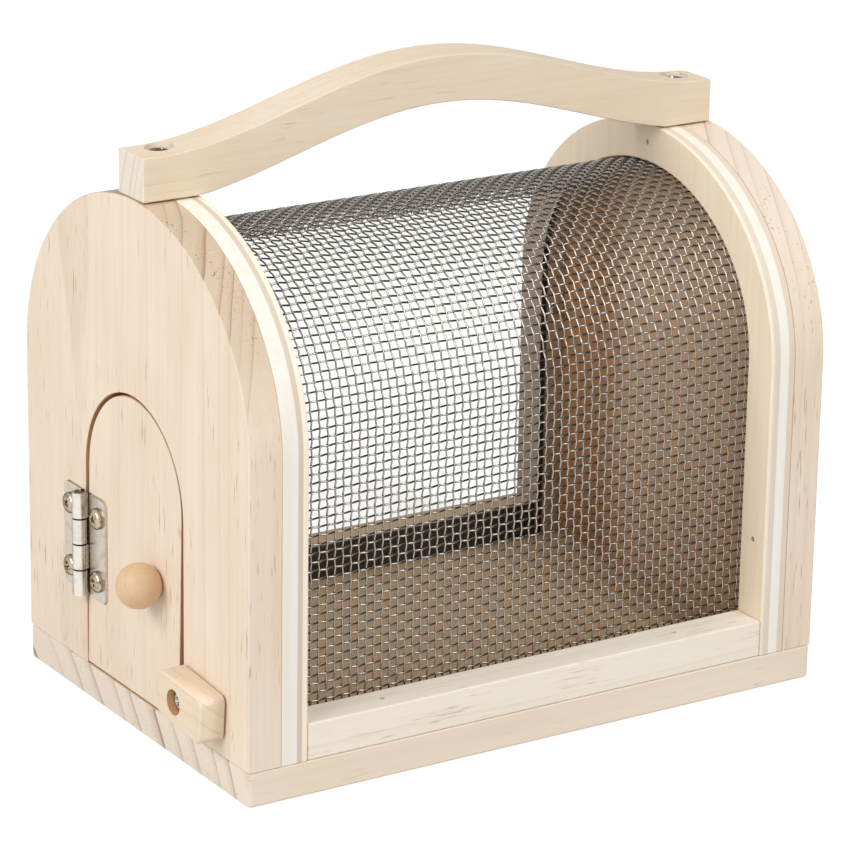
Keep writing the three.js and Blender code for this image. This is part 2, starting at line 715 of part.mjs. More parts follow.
function hingeLeaf(side, firstKnuckle) {
  const width = leafWidth - knuckleGap;
  const plate = roundedRect(width, hingeLength, leafCorner);
  const leaf = new THREE.ExtrudeGeometry(plate, { depth: leafThickness, bevelEnabled: false, curveSegments: 4 });
  leaf.applyQuaternion(alongX);
  leaf.translate(-halfLength - leafThickness, pinY + side * (knuckleGap + width / 2), hingeHeight);
  const cutters = [bar(hingePinRadius + hingePinGap, [pinX, pinY, hingeLow - 1], [pinX, pinY, hingeLow + hingeLength + 1])];
  const parts = [leaf];
  for (let i = 0; i < knuckles; i += 1) {
    const low = hingeLow + i * knuckleLength;
    const own = i % 2 === firstKnuckle;
    if (own) {
      const lowEnd = low + (i > 0 ? knuckleGap / 2 : 0);
      const highEnd = low + knuckleLength - (i < knuckles - 1 ? knuckleGap / 2 : 0);
      parts.push(bar(barrelRadius - 0.05, [pinX, pinY, lowEnd], [pinX, pinY, highEnd], 20));
      const web = new THREE.BoxGeometry(leafThickness, barrelRadius + knuckleGap, highEnd - lowEnd);
      web.translate(-halfLength - leafThickness / 2, pinY + side * (barrelRadius + knuckleGap) / 2, (lowEnd + highEnd) / 2);
      parts.push(web);
    } else {
      const high = low + knuckleLength;
      cutters.push(bar(barrelRadius + knuckleGap, [pinX, pinY, low - knuckleGap / 2], [pinX, pinY, high + knuckleGap / 2], 20));
    }
  }
  const screwY = side > 0 ? frameScrewY : doorScrewY;
  for (const z of hingeScrewZ) {
    cutters.push(hingeScrewHole(screwY, z));
  }
  return cutAway(joined(parts), cutters);
}

const hinge = new THREE.Group();
hinge.position.x = -glueLine;
model.add(hinge);
addPiece('hinge_leaf_frame', hingeLeaf(1, 0), nickel, hinge);
addPiece('hinge_leaf_door', hingeLeaf(-1, 1), nickel, hinge);
addPiece('hinge_pin', bar(hingePinRadius, [pinX, pinY, hingeLow], [pinX, pinY, hingeLow + hingeLength]), nickel, hinge);
for (const [name, y] of [['frame', frameScrewY], ['door', doorScrewY]]) {
  hingeScrewZ.forEach((z, i) => addPiece(`hinge_screw_${name}_${i + 1}`, placed(
    screwGeometry(panHeadRadius, panHeadHeight, hingeShankRadius, hingeShankLength, 'pan'),
    [screwHeadFace, y, z], [1, 0, 0]), nickel, hinge));
}

// Turn button, stored turned clear of the door; half a turn laps its long end over the door
const buttonLength = buttonLongEnd + buttonShortEnd;
const buttonBlank = new THREE.ExtrudeGeometry(roundedRect(buttonLength, buttonHeight, buttonCorner), {
  depth: buttonThickness, bevelEnabled: false, curveSegments: 5,
});
buttonBlank.applyQuaternion(alongX);
buttonBlank.translate(-halfLength - buttonFaceGap - buttonThickness, -(buttonLongEnd - buttonShortEnd) / 2, 0);
buttonBlank.rotateX(THREE.MathUtils.degToRad(buttonTilt)).translate(0, buttonY, buttonCentreHeight);
const buttonFront = -halfLength - buttonFaceGap - buttonThickness;
const buttonFloor = buttonFront + buttonBoreDepth;
addPiece('turn_button', cutAway(buttonBlank, [
  bar(buttonBoreRadius, [buttonFront - 1, buttonY, buttonCentreHeight], [buttonFloor, buttonY, buttonCentreHeight], 20),
  bar(buttonShankRadius + screwGap, [buttonFront, buttonY, buttonCentreHeight], [-halfLength, buttonY, buttonCentreHeight]),
]), woodButton);
addPiece('turn_button_screw', placed(
  screwGeometry(buttonHeadRadius, buttonHeadHeight, buttonShankRadius, buttonShankLength, 'pan'),
  [buttonFloor - buttonHeadHeight - 0.1, buttonY, buttonCentreHeight], [1, 0, 0]), zinc);

export default model;
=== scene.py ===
# %% [markdown]
# # A wooden bug box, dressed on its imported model
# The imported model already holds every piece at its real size. This script loads it as a fixed frame, then
# models the wood, the woven wire and the small metalwork again with the soft edges, grain and weave that the
# eye expects, and hides each plain solid behind the piece that stands for it.

# %% Load the frame
import math

import bpy
from mathutils import Matrix, Vector


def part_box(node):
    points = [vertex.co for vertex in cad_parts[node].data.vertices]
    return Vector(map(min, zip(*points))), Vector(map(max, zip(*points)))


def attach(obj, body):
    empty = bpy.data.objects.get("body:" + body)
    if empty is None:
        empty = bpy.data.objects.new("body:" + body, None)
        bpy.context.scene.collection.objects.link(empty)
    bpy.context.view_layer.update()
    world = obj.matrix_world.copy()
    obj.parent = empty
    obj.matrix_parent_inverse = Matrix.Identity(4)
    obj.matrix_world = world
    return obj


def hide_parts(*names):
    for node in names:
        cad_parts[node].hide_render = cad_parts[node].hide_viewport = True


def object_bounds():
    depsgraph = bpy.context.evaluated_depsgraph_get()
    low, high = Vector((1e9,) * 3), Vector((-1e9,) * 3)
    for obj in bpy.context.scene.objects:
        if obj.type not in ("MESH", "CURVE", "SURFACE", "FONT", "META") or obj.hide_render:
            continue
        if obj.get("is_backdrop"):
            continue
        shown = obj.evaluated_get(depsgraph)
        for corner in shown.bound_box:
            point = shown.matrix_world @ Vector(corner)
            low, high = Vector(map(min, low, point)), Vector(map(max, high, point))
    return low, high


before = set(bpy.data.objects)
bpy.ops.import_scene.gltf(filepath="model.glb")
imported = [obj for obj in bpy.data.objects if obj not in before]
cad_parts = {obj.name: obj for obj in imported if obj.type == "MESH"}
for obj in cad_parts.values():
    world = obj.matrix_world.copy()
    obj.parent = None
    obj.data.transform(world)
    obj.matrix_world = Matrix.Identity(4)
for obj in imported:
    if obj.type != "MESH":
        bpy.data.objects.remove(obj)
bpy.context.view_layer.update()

MM = 0.001
scene = bpy.context.scene
print("pieces in the frame:", len(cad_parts))

# %% [markdown]
# ## Camera
# The photograph was taken from in front and to the left, looking down by about nineteen degrees, with a
# long lens: the upright edges hardly converge. Place, aim, roll and lens come from fitting the box's own
# corners to the picture.

# %% Camera
CAMERA_PLACE = Vector((-594.9, -934.5, 447.8)) * MM
CAMERA_AIM = Vector((-1.1, -2.9, 76.0)) * MM
CAMERA_ROLL = math.radians(0.93)
LENS = 171.0

camera_data = bpy.data.cameras.new("camera")
camera_data.lens = LENS
camera_data.sensor_width = 36
camera_data.clip_start = 0.05
camera_data.clip_end = 20
camera = bpy.data.objects.new("camera", camera_data)
scene.collection.objects.link(camera)
camera.location = CAMERA_PLACE
aim = (CAMERA_AIM - CAMERA_PLACE).to_track_quat("-Z", "Y")
camera.rotation_mode = "QUATERNION"
camera.rotation_quaternion = aim @ Matrix.Rotation(CAMERA_ROLL, 3, "Z").to_quaternion()
scene.camera = camera
scene.view_settings.view_transform = "Standard"
print("camera distance:", round((CAMERA_AIM - CAMERA_PLACE).length, 3), "m")

# %% [markdown]
# ## Helpers for materials
# Colours are written as the eye sees them, in sRGB hex, and turned linear once. One helper adds a node with
# its settings and links, so that each material below reads as a list of steps.

# %% Material helpers
def linear(hex_colour, alpha=1.0):
    parts = [int(hex_colour[i:i + 2], 16) / 255 for i in (1, 3, 5)]
    return tuple(p / 12.92 if p <= 0.04045 else ((p + 0.055) / 1.055) ** 2.4 for p in parts) + (alpha,)


def add_node(tree, kind, inputs=None, **settings):
    """Adds a node: settings are its own, inputs are values, or sockets to link from."""
    node = tree.nodes.new(kind)
    for name, value in settings.items():
        setattr(node, name, value)
    for name, value in (inputs or {}).items():
        socket = node.inputs[name]
        if isinstance(value, bpy.types.NodeSocket):
            tree.links.new(value, socket)
        else:
            socket.default_value = value
    return node


def new_material(name):
    material = bpy.data.materials.new(name)
    material.use_nodes = True
    tree = material.node_tree
    return material, tree, tree.nodes["Principled BSDF"]


def set_ramp(ramp, stops):
    """Gives a Color Ramp its stops: a place from 0 to 1 and a hex colour each."""
    elements = ramp.color_ramp.elements
    while len(elements) < len(stops):
        elements.new(0.5)
    for element, (place, colour) in zip(elements, stops):
        element.position = place
        element.color = linear(colour)


def maths(tree, operation, *values, clamp=False):
    """A Math node on numbers or sockets."""
    node = add_node(tree, "ShaderNodeMath", dict(enumerate(values)), operation=operation, use_clamp=clamp)
    return node.outputs[0]


def remap(tree, value, from_range=(0, 1), to_range=(0, 1), smooth=False):
    """Maps a value from one range to another and holds it at the ends."""
    kind = "SMOOTHSTEP" if smooth else "LINEAR"
    return add_node(tree, "ShaderNodeMapRange", {
        "Value": value, "From Min": from_range[0], "From Max": from_range[1],
        "To Min": to_range[0], "To Max": to_range[1]}, interpolation_type=kind).outputs[0]


def mix(tree, share, one, other):
    """Blends two colours, each a hex or a socket."""
    one, other = [linear(c) if isinstance(c, str) else c for c in (one, other)]
    node = add_node(tree, "ShaderNodeMix", {"Factor": share, "A": one, "B": other}, data_type="RGBA")
    return node.outputs["Result"]


def noise(tree, space, scale, detail, roughness=0.5, output="Fac"):
    node = add_node(tree, "ShaderNodeTexNoise", {
        "Vector": space, "Scale": scale, "Detail": detail, "Roughness": roughness})
    return node.outputs[output]


def stretch(tree, space, scale):
    """Draws a pattern out along its third axis, the more the smaller the scale."""
    return add_node(tree, "ShaderNodeMapping", {"Vector": space, "Scale": (1, 1, scale)}).outputs[0]


def component(tree, vector, axis):
    return add_node(tree, "ShaderNodeSeparateXYZ", {"Vector": vector}).outputs[axis]

# %% [markdown]
# ## Light, floor and background
# Soft studio light: an even world, a lamp at the left that rounds off the knob and the hinge barrel, a wide
# fill beside it that also reaches the far arch past the near end, and an upright strip softbox in front,
# high and almost straight before the mesh. Where a wire lies square to the half way between it and the
# camera it flashes: the hoops on the shoulder of the arch, and one slope of each crimp in the long wires.
# The floor is pale and keeps a faint shadow. The camera sees it and the background as white, and so does
# whatever mirrors them.

# %% Light, floor and background
WORLD_STRENGTH = 0.35
LAMPS_AIM = Vector((0, 0, 0.08))
FLOOR_GLOW = 0.64
FLOOR_RADIUS = 6
FLOOR_HEIGHT = -0.0002


def seen_or_mirrored(tree):
    """1 for rays from the camera and from a shiny face, 0 for the rest."""
    rays = add_node(tree, "ShaderNodeLightPath").outputs
    return maths(tree, "MAXIMUM", rays["Is Camera Ray"], rays["Is Glossy Ray"])


world = bpy.data.worlds.new("studio")
scene.world = world
world.use_nodes = True
world_tree = world.node_tree
world_tree.nodes.clear()
strength = remap(world_tree, seen_or_mirrored(world_tree), to_range=(WORLD_STRENGTH, 1))
background = add_node(world_tree, "ShaderNodeBackground", {"Color": (1, 1, 1, 1), "Strength": strength})
add_node(world_tree, "ShaderNodeOutputWorld", {"Surface": background.outputs[0]})


def area_lamp(name, place, size, power):
    data = bpy.data.lights.new(name, "AREA")
    data.shape = "RECTANGLE"
    data.size, data.size_y = size
    data.energy = power
    lamp = bpy.data.objects.new(name, data)
    scene.collection.objects.link(lamp)
    lamp.location = place
    lamp.rotation_mode = "QUATERNION"
    lamp.rotation_quaternion = (LAMPS_AIM - Vector(place)).to_track_quat("-Z", "Y")


area_lamp("left_lamp", (-1.36, 0.17, 1.08), (0.45, 0.45), 4.9)
area_lamp("left_fill", (-1.44, -0.43, 0.86), (0.9, 0.9), 12.4)
area_lamp("front_strip", (0.26, -1.16, 1.3), (0.4, 1.2), 14.5)

floor_material, floor_tree, floor_shader = new_material("white_paper_sweep")
floor_shader.inputs["Base Color"].default_value = linear("#D0D0D0")
floor_shader.inputs["Roughness"].default_value = 0.9
floor_shader.inputs["Specular IOR Level"].default_value = 0.0
floor_shader.inputs["Emission Color"].default_value = (1, 1, 1, 1)
floor_glow = maths(floor_tree, "MULTIPLY", seen_or_mirrored(floor_tree), FLOOR_GLOW)
floor_tree.links.new(floor_glow, floor_shader.inputs["Emission Strength"])
bpy.ops.mesh.primitive_circle_add(vertices=64, radius=FLOOR_RADIUS, fill_type="NGON",
                                  location=(0, 0, FLOOR_HEIGHT))
floor = bpy.context.object
floor.name = "floor"
floor.data.materials.append(floor_material)
floor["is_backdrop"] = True

# %% [markdown]
# ## Wood
# Pine is drawn as solid wood, not as a picture on a face. Growth rings are tubes round a pith line that runs
# along the grain, so a face along the grain shows long bands and a sawn end shows the rings as arcs, from
# one texture. Each ring darkens slowly from spring to autumn and then stops sharply. Fibres and resin flecks
# are noise stretched along the grain: long dashes on the sides, dots on the ends. A sawn end is also a
# little darker and pinker, because its open cells swallow light.

# %% Solid wood
GRAIN_TURNS = {"X": (0, 90, 0), "Y": (90, 0, 0), "Z": (0, 0, 0)}


def wood_surface(tree, shader, colour, grain, relief, roughness):
    """Bare sanded wood: a fine relief from its grain, and a dull shine."""
    tree.links.new(colour, shader.inputs["Base Color"])
    bump = add_node(tree, "ShaderNodeBump", {"Height": grain, "Strength": relief, "Distance": 0.0002})
    tree.links.new(bump.outputs[0], shader.inputs["Normal"])
    shader.inputs["Roughness"].default_value = roughness
    shader.inputs["Specular IOR Level"].default_value = 0.3


def solid_wood(name, grain, pith_mm, ring_mm, pale="#F2E2CF", warm="#E3CAAD", ring="#B08C6A", fleck="#9C7350",
               ring_on_side=0.2, ring_on_end=0.6, drift_mm=3.0, fibres=0.4, flecks=0.75, end_colour="#EBDCCB",
               roughness=0.68, fade=None):
    """Grain is the axis the fibres follow. The pith is placed across it, in the turned pattern's first two
    axes. fade is painted light: a colour the wood turns to, and where, in Y, that starts and is done."""
    material, tree, shader = new_material(name)
    place = add_node(tree, "ShaderNodeTexCoord").outputs
    turned = add_node(tree, "ShaderNodeMapping", {
        "Vector": place["Object"], "Rotation": [math.radians(a) for a in GRAIN_TURNS[grain]]}).outputs[0]
    centred = add_node(tree, "ShaderNodeMapping", {
        "Vector": turned, "Location": [-p * MM for p in pith_mm] + [0]}).outputs[0]

    # Rings: distance from the pith, with a slow drift so that no two are the same
    slow = stretch(tree, centred, 0.3)
    drift = add_node(tree, "ShaderNodeVectorMath", {
        0: noise(tree, slow, 22, 2, output="Color"), 1: (0.5, 0.5, 0.5)}, operation="SUBTRACT")
    drift = add_node(tree, "ShaderNodeVectorMath", {0: drift.outputs[0], "Scale": 2 * drift_mm * MM},
                     operation="SCALE")
    bent = add_node(tree, "ShaderNodeVectorMath", {0: centred, 1: drift.outputs[0]}, operation="ADD")
    across = add_node(tree, "ShaderNodeVectorMath", {0: bent.outputs[0], 1: (1, 1, 0)}, operation="MULTIPLY")
    radius = add_node(tree, "ShaderNodeVectorMath", {0: across.outputs[0]}, operation="LENGTH")
    count = maths(tree, "MULTIPLY", radius.outputs["Value"], 1 / (ring_mm * MM))
    uneven = add_node(tree, "ShaderNodeTexNoise", {"W": count, "Scale": 0.4, "Detail": 0},
                      noise_dimensions="1D")
    count = maths(tree, "MULTIPLY_ADD", uneven.outputs["Fac"], 1.3, count)
    ring_ramp = add_node(tree, "ShaderNodeValToRGB", {"Fac": maths(tree, "FRACT", count)})
    set_ramp(ring_ramp, [(0.0, "#000000"), (0.55, "#000000"), (0.84, "#A0A0A0"), (0.93, "#FFFFFF"),
                         (0.965, "#FFFFFF"), (0.99, "#000000")])
    ring_luck = add_node(tree, "ShaderNodeTexWhiteNoise", {"W": maths(tree, "FLOOR", count)},
                         noise_dimensions="1D")
    ring_depth = remap(tree, ring_luck.outputs["Value"], to_range=(0.15, 1))

    # How much a face looks along the grain: 1 on a sawn end, 0 on a side
    facing = maths(tree, "ABSOLUTE", component(tree, place["Normal"], grain))
    end_share = remap(tree, facing, (0.1, 0.75), smooth=True)
    ring_reach = remap(tree, end_share, to_range=(ring_on_side, ring_on_end))
    ring_part = maths(tree, "MULTIPLY", ring_ramp.outputs["Color"], ring_depth)
    ring_part = maths(tree, "MULTIPLY", ring_part, ring_reach)

    # Fibres about a millimetre wide and broad clouds, both drawn out along the grain
    fibre = noise(tree, stretch(tree, centred, 0.018), 650, 6, 0.75)
    cloud = noise(tree, slow, 60, 2)
    warmth = maths(tree, "ADD", remap(tree, fibre, (0.35, 0.75), (0, fibres)),
                   remap(tree, cloud, (0.3, 0.75), (0, 0.4)), clamp=True)

    # Resin flecks: short brown dashes that come in patches, and more of them as pores on a sawn end
    dashes = remap(tree, noise(tree, stretch(tree, centred, 0.07), 1350, 1), (0.64, 0.75))
    most = remap(tree, end_share, to_range=(flecks, flecks + 0.3))
    patches = remap(tree, noise(tree, slow, 75, 1), (0.45, 0.65), (0.05, most))
    fleck_part = maths(tree, "MULTIPLY", dashes, patches)

    colour = mix(tree, warmth, pale, warm)
    # Painted light: the wood turns lighter along Y, towards where more light would reach it.
    if fade:
        painted_light_colour, fade_from, fade_to = fade
        depth = component(tree, place["Object"], "Y")
        painted_light_share = remap(tree, depth, (fade_from * MM, fade_to * MM), (0, 0.85), smooth=True)
        colour = mix(tree, painted_light_share, colour, painted_light_colour)
    colour = mix(tree, maths(tree, "MULTIPLY", end_share, 0.7), colour, end_colour)
    colour = mix(tree, ring_part, colour, ring)
    colour = mix(tree, fleck_part, colour, fleck)
    wood_surface(tree, shader, colour, fibre, 0.25, roughness)
    return material

# %% [markdown]
# Each board gets its own pith, read from where its rings cross its edges: the base's rings lean over at
# about fifty degrees, the door end's run out of its front corner, and the handle's stand almost upright.
# Inside the box the pine is painted brown as painted shade, most on the ends towards the window, and the
# rails' inner faces are painted nearly black as painted deep shade. That darkness behind the mesh is what
# makes its wires stand out pale.

# %% Wood finishes
pine_door_end = solid_wood("sanded_pine_door_end", "Z", (-212, 37), 4.6, ring="#96704F", ring_on_side=0.14,
                           ring_on_end=0.9, end_colour="#C4AD92")
pine_plain_end = solid_wood("sanded_pine_plain_end", "Z", (190, -70), 4.6)
pine_base = solid_wood("sanded_pine_base", "X", (-131, 179), 9.3, pale="#F2E4D3", warm="#E6D1B6",
                       ring="#947152", ring_on_side=0.12, ring_on_end=1.0, drift_mm=2.5, flecks=0.4,
                       end_colour="#EADCCD")
pine_rail = solid_wood("sanded_pine_rail", "X", (-60, -150), 6.5, pale="#F9F0E3", warm="#F1E2CD",
                       ring_on_side=0.12, flecks=0.4, drift_mm=4.0)
pine_handle = solid_wood("sanded_pine_handle", "X", (124, -180), 3.4, pale="#EEDEC8", warm="#DFC7A6",
                         ring_on_side=0.1, ring_on_end=0.5, flecks=0.3, end_colour="#EADFD3")
pine_button = solid_wood("sanded_pine_turn_button", "Y", (-70, -60), 2.6, pale="#F0DEC7", warm="#E2C6A0",
                         ring_on_side=0.2, ring_on_end=0.3, flecks=0.35, end_colour="#EBDAC4")
turned_beech = solid_wood("turned_waxed_beech", "X", (30, 20), 2.2, pale="#E9CDAA", warm="#DDB58A",
                          ring="#B98E65", ring_on_side=0.15, ring_on_end=0.15, fibres=0.5, flecks=0.25,
                          end_colour="#DDBB96", roughness=0.5)
scorched_pine = solid_wood("saw_scorched_pine_edge", "Z", (-212, 37), 4.6, pale="#DAB48C", warm="#C69E76",
                           end_colour="#C8956A")
# Painted shade: the pine inside the box is given darker browns, lighter towards the front as painted light.
pine_inside_painted_shade = solid_wood("pine_painted_inside_shade", "Z", (150, 60), 5.2, pale="#BF8F64", warm="#A9784E",
                          ring="#8E6038", fleck="#6B4526", fade=("#EDC9A8", 34, 12))
# Painted shade on the floor inside the box.
floor_pine_painted_shade = solid_wood("pine_floor_painted_inside_shade", "X", (-90, 140), 6.0, pale="#DDBE9A", warm="#CBA981",
                           ring="#A8835C", fleck="#7A5A3C")
# Painted deep shade on the rails' inner faces.
rail_painted_deep_shade = solid_wood("pine_painted_deep_shade", "X", (-60, -150), 6.5, pale="#3A2318", warm="#2A170E",
                       ring="#20110A", fleck="#1C0E08")
print("woods:", [m.name for m in bpy.data.materials if "pine" in m.name or "beech" in m.name])

# %% [markdown]
# ## Plywood
# The two inner arches are sawn from plywood. Its face veneer is warm cream with a quiet upright grain. On
# the sawn edges the layers show: the thin face veneer, a greyer layer whose cells are cut across, a thick
# pale one, and a last one next to the glue joint. The layers lie at fixed depths in the sheet, so they are
# read from the distance to the box's middle. Behind the mesh and the window, down the rear leg, the arch is
# painted darker as painted shade, like the inside, and the rim of its sawn edge by the window is painted
# nearly black as a painted shadow.

# %% Plywood
PLY_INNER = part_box("ply_arch_plain_end")[0].x
PLY_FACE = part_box("ply_arch_plain_end")[1].x
LAYER_BLEND = 0.12


def plywood(name, layers_mm):
    """layers_mm lists how deep each layer ends, counted from the inner face, and its colour."""
    material, tree, shader = new_material(name)
    place = add_node(tree, "ShaderNodeTexCoord").outputs
    depth = maths(tree, "ABSOLUTE", component(tree, place["Object"], "X"))
    depth = remap(tree, depth, (PLY_INNER, PLY_FACE))
    layers = add_node(tree, "ShaderNodeValToRGB", {"Fac": depth})
    thickness = (PLY_FACE - PLY_INNER) / MM
    stops, start = [], 0
    for layer_end, colour in layers_mm:
        for edge in (start + LAYER_BLEND, layer_end - LAYER_BLEND):
            stops.append((edge / thickness, colour))
        start = layer_end
    set_ramp(layers, stops)
    facing = maths(tree, "ABSOLUTE", component(tree, place["Normal"], "X"))
    veneer_share = remap(tree, facing, (0.6, 0.9), smooth=True)
    colour = mix(tree, veneer_share, layers.outputs["Color"], "#FDEBD1")
    grain = noise(tree, stretch(tree, place["Object"], 0.03), 300, 5, 0.65)
    colour = mix(tree, remap(tree, grain, (0.35, 0.75), (0, 0.3)), colour, "#DEC6A3")

    # The rear leg takes painted shade where it lies behind these depths, below these heights, and looks
    # inwards
    behind = remap(tree, component(tree, place["Object"], "Y"), (25 * MM, 42 * MM), smooth=True)
    below = remap(tree, component(tree, place["Object"], "Z"), (132 * MM, 118 * MM), smooth=True)
    inward = maths(tree, "MULTIPLY", component(tree, place["Normal"], "Y"), -1)
    inward = remap(tree, maths(tree, "MAXIMUM", inward, facing), (0.5, 0.8), smooth=True)
    rear_leg_painted_shade = maths(tree, "MULTIPLY", maths(tree, "MULTIPLY", behind, below), inward)
    # The sawn edge's rim by the window is painted nearly black as a painted shadow.
    sawn = add_node(tree, "ShaderNodeValToRGB", {"Fac": depth})
    set_ramp(sawn, [(0.0, "#24170F"), (0.22, "#24170F"), (0.32, "#D9BC9E"), (1.0, "#D9BC9E")])
    brown = mix(tree, veneer_share, sawn.outputs["Color"], "#B09C8A")
    wood_surface(tree, shader, mix(tree, rear_leg_painted_shade, colour, brown), grain, 0.2, 0.62)
    return material


plywood_door_end = plywood("sanded_plywood_door_end", [
    (1.8, "#FFF2E0"), (3.4, "#D9CAB8"), (8.2, "#F7F2E8")])
plywood_plain_end = plywood("sanded_plywood_plain_end", [
    (1.1, "#F8ECDB"), (3.0, "#E6D9CA"), (6.1, "#FAF5EA"), (8.0, "#E6D6C4"), (8.4, "#C4A888")])
print("plywood from", round(PLY_INNER / MM, 1), "to", round(PLY_FACE / MM, 1), "mm")

# %% [markdown]
# ## Metal and clear sheet
# The hinge is pressed steel with a nickel plate that has browned a little where it was handled. Its screws
# and the turn button's are nickel plated too, the other fasteners are zinc plated, and the mesh is drawn
# wire. Plating is smooth with faint clouding, so its roughness varies, and the tarnish is a brown film in
# small patches. The corner beside the hinge's barrel is darkened as painted shade. On the wire the slopes
# that face away from the door end are darkened as a painted dark reflection, so each crimp shows a light
# and a dark side, and the long wires are painted darker than the hoops as painted shade.

# %% Metals and clear sheet
def plated_metal(name, colour, tarnish, roughness, cloud_mm, tarnish_share=0.5, rim="#FFFFFF", lee=None,
                 seam_mm=None):
    """rim is how the plating darkens where it is seen almost edge on. lee is where, from one slope to
    another, a painted dark reflection begins and is full on the side away from the door. seam_mm is a line,
    in Y, that is darkened as painted shade."""
    material, tree, shader = new_material(name)
    shader.inputs["Metallic"].default_value = 1.0
    shader.inputs["Specular Tint"].default_value = linear(rim)
    place = add_node(tree, "ShaderNodeTexCoord").outputs
    cloud = noise(tree, place["Object"], 1 / (cloud_mm * MM), 4)
    tarnish_and_painted_shade = remap(tree, cloud, (0.5, 0.72), (0, tarnish_share))
    if lee:
        # Painted dark reflection on the slopes that face away from the door end.
        slope = remap(tree, component(tree, place["Normal"], "X"), lee, (0, 0.85))
        tarnish_and_painted_shade = maths(tree, "MAXIMUM", tarnish_and_painted_shade, slope)
    if seam_mm:
        # Painted shade along the seam beside the hinge's barrel.
        away = maths(tree, "SUBTRACT", component(tree, place["Object"], "Y"), seam_mm * MM)
        painted_seam_shade = remap(tree, maths(tree, "ABSOLUTE", away), (0.2 * MM, 0.6 * MM), (1, 0))
        tarnish_and_painted_shade = maths(tree, "MAXIMUM", tarnish_and_painted_shade, painted_seam_shade)
    tree.links.new(mix(tree, tarnish_and_painted_shade, colour, tarnish), shader.inputs["Base Color"])
    rough = remap(tree, cloud, to_range=(roughness - 0.08, roughness + 0.1))
    tree.links.new(rough, shader.inputs["Roughness"])
    return material


# The seam beside the barrel takes painted shade.
nickel = plated_metal("nickel_plated_pressed_steel", "#D6D0C6", "#6A4E34", 0.26, 3, 0.25, "#9A9184",
                      seam_mm=25.1)
screw_steel = plated_metal("tarnished_nickel_screw", "#B8AB98", "#3E2E20", 0.22, 1.2, 0.75, "#84735F")
zinc = plated_metal("zinc_plated_steel", "#A9A69F", "#6F5E4C", 0.28, 2, 0.4, "#8A8070")
# The pin is painted dark so that the slots between the knuckles show it as painted shade.
pin_steel_painted_gap_shade = plated_metal("steel_pin_painted_as_gap_shade", "#5A4A3C", "#3A2C22", 0.35, 2)
# The long wires are given darker colours than the hoops as painted shade; both take the painted dark
# reflection on their lee slopes.
hoop_wire = plated_metal("drawn_steel_wire_hoops", "#A29D95", "#242220", 0.2, 6, 0.15, lee=(0.05, 0.5))
length_wire = plated_metal("drawn_steel_wire_lengths", "#88837B", "#131210", 0.2, 6, 0.15, lee=(-0.02, 0.11))

clear_sheet, clear_tree, clear_shader = new_material("clear_acetate_sheet")
clear_shader.inputs["Base Color"].default_value = linear("#8A8F8C")
clear_shader.inputs["Roughness"].default_value = 0.06
sheet_place = add_node(clear_tree, "ShaderNodeTexCoord").outputs["Object"]
haze = remap(clear_tree, noise(clear_tree, sheet_place, 60, 2), to_range=(0.03, 0.07))
clear_tree.links.new(haze, clear_shader.inputs["Alpha"])
print("metals:", nickel.name, zinc.name, hoop_wire.name)

# %% [markdown]
# ## Helpers for modelling
# Each piece is modelled by hand steps: a primitive is placed, shaped in edit mode and finished with
# modifiers. The helpers select parts by their place, apply a modifier, cut or weld one piece with another,
# and round the edges as sandpaper does. Weighted normals keep large flat faces flat up to their rounded
# edges.

# %% Helpers for modelling
def object_mode():
    bpy.ops.object.mode_set(mode="OBJECT")


def deselect():
    if bpy.context.object and bpy.context.object.mode != "OBJECT":
        object_mode()
    bpy.ops.object.select_all(action="DESELECT")


def pick(obj):
    deselect()
    obj.select_set(True)
    bpy.context.view_layer.objects.active = obj
    return obj


def settle(obj):
    """Moves an object's place, turn and size into its mesh."""
    pick(obj)
    bpy.ops.object.transform_apply(location=True, rotation=True, scale=True)
    return obj


def select_where(obj, test, kind="vertices"):
    """Selects only the parts of a mesh that pass the test, and goes to edit mode."""
    pick(obj)
    bpy.ops.object.mode_set(mode="EDIT")
    bpy.ops.mesh.select_mode(type={"vertices": "VERT", "edges": "EDGE", "polygons": "FACE"}[kind])
    bpy.ops.mesh.select_all(action="DESELECT")
    object_mode()
    mesh = obj.data
    for part in getattr(mesh, kind):
        if kind == "vertices":
            part.select = test(part.co / MM)
        elif kind == "polygons":
            part.select = test(part.center / MM, part.normal)
        else:
            part.select = test(*[mesh.vertices[i].co / MM for i in part.vertices])
    bpy.ops.object.mode_set(mode="EDIT")


def select_all(obj):
    select_where(obj, lambda place: True)


def extrude(x=0, y=0, z=0):
    bpy.ops.mesh.extrude_region_move(TRANSFORM_OT_translate={"value": (x * MM, y * MM, z * MM)})


def move(x=0, y=0, z=0):
    bpy.ops.transform.translate(value=(x * MM, y * MM, z * MM))


def resize(x=1, y=1, z=1, centre=(0, 0, 0)):
    bpy.ops.transform.resize(value=(x, y, z), center_override=[c * MM for c in centre])


def rotate(degrees, axis, centre=(0, 0, 0)):
    bpy.ops.transform.rotate(value=math.radians(degrees), orient_axis=axis,
                             center_override=[c * MM for c in centre])


def face_outwards(obj):
    select_all(obj)
    bpy.ops.mesh.normals_make_consistent(inside=False)
    object_mode()
    return obj


def apply_modifier(obj, kind, **settings):
    pick(obj)
    modifier = obj.modifiers.new(kind.lower(), kind)
    for name, value in settings.items():
        setattr(modifier, name, value)
    bpy.ops.object.modifier_apply(modifier=modifier.name)


def combine(obj, others, operation):
    for other in others:
        apply_modifier(obj, "BOOLEAN", operation=operation, solver="EXACT", object=other)
        bpy.data.objects.remove(other)
    return obj


def cut(obj, *cutters):
    return combine(obj, cutters, "DIFFERENCE")


def weld(obj, *others):
    return combine(obj, others, "UNION")


def round_edges(width_mm, segments):
    """Rounds the edges that are selected."""
    bpy.ops.mesh.bevel(offset=width_mm * MM, segments=segments, affect="EDGES")


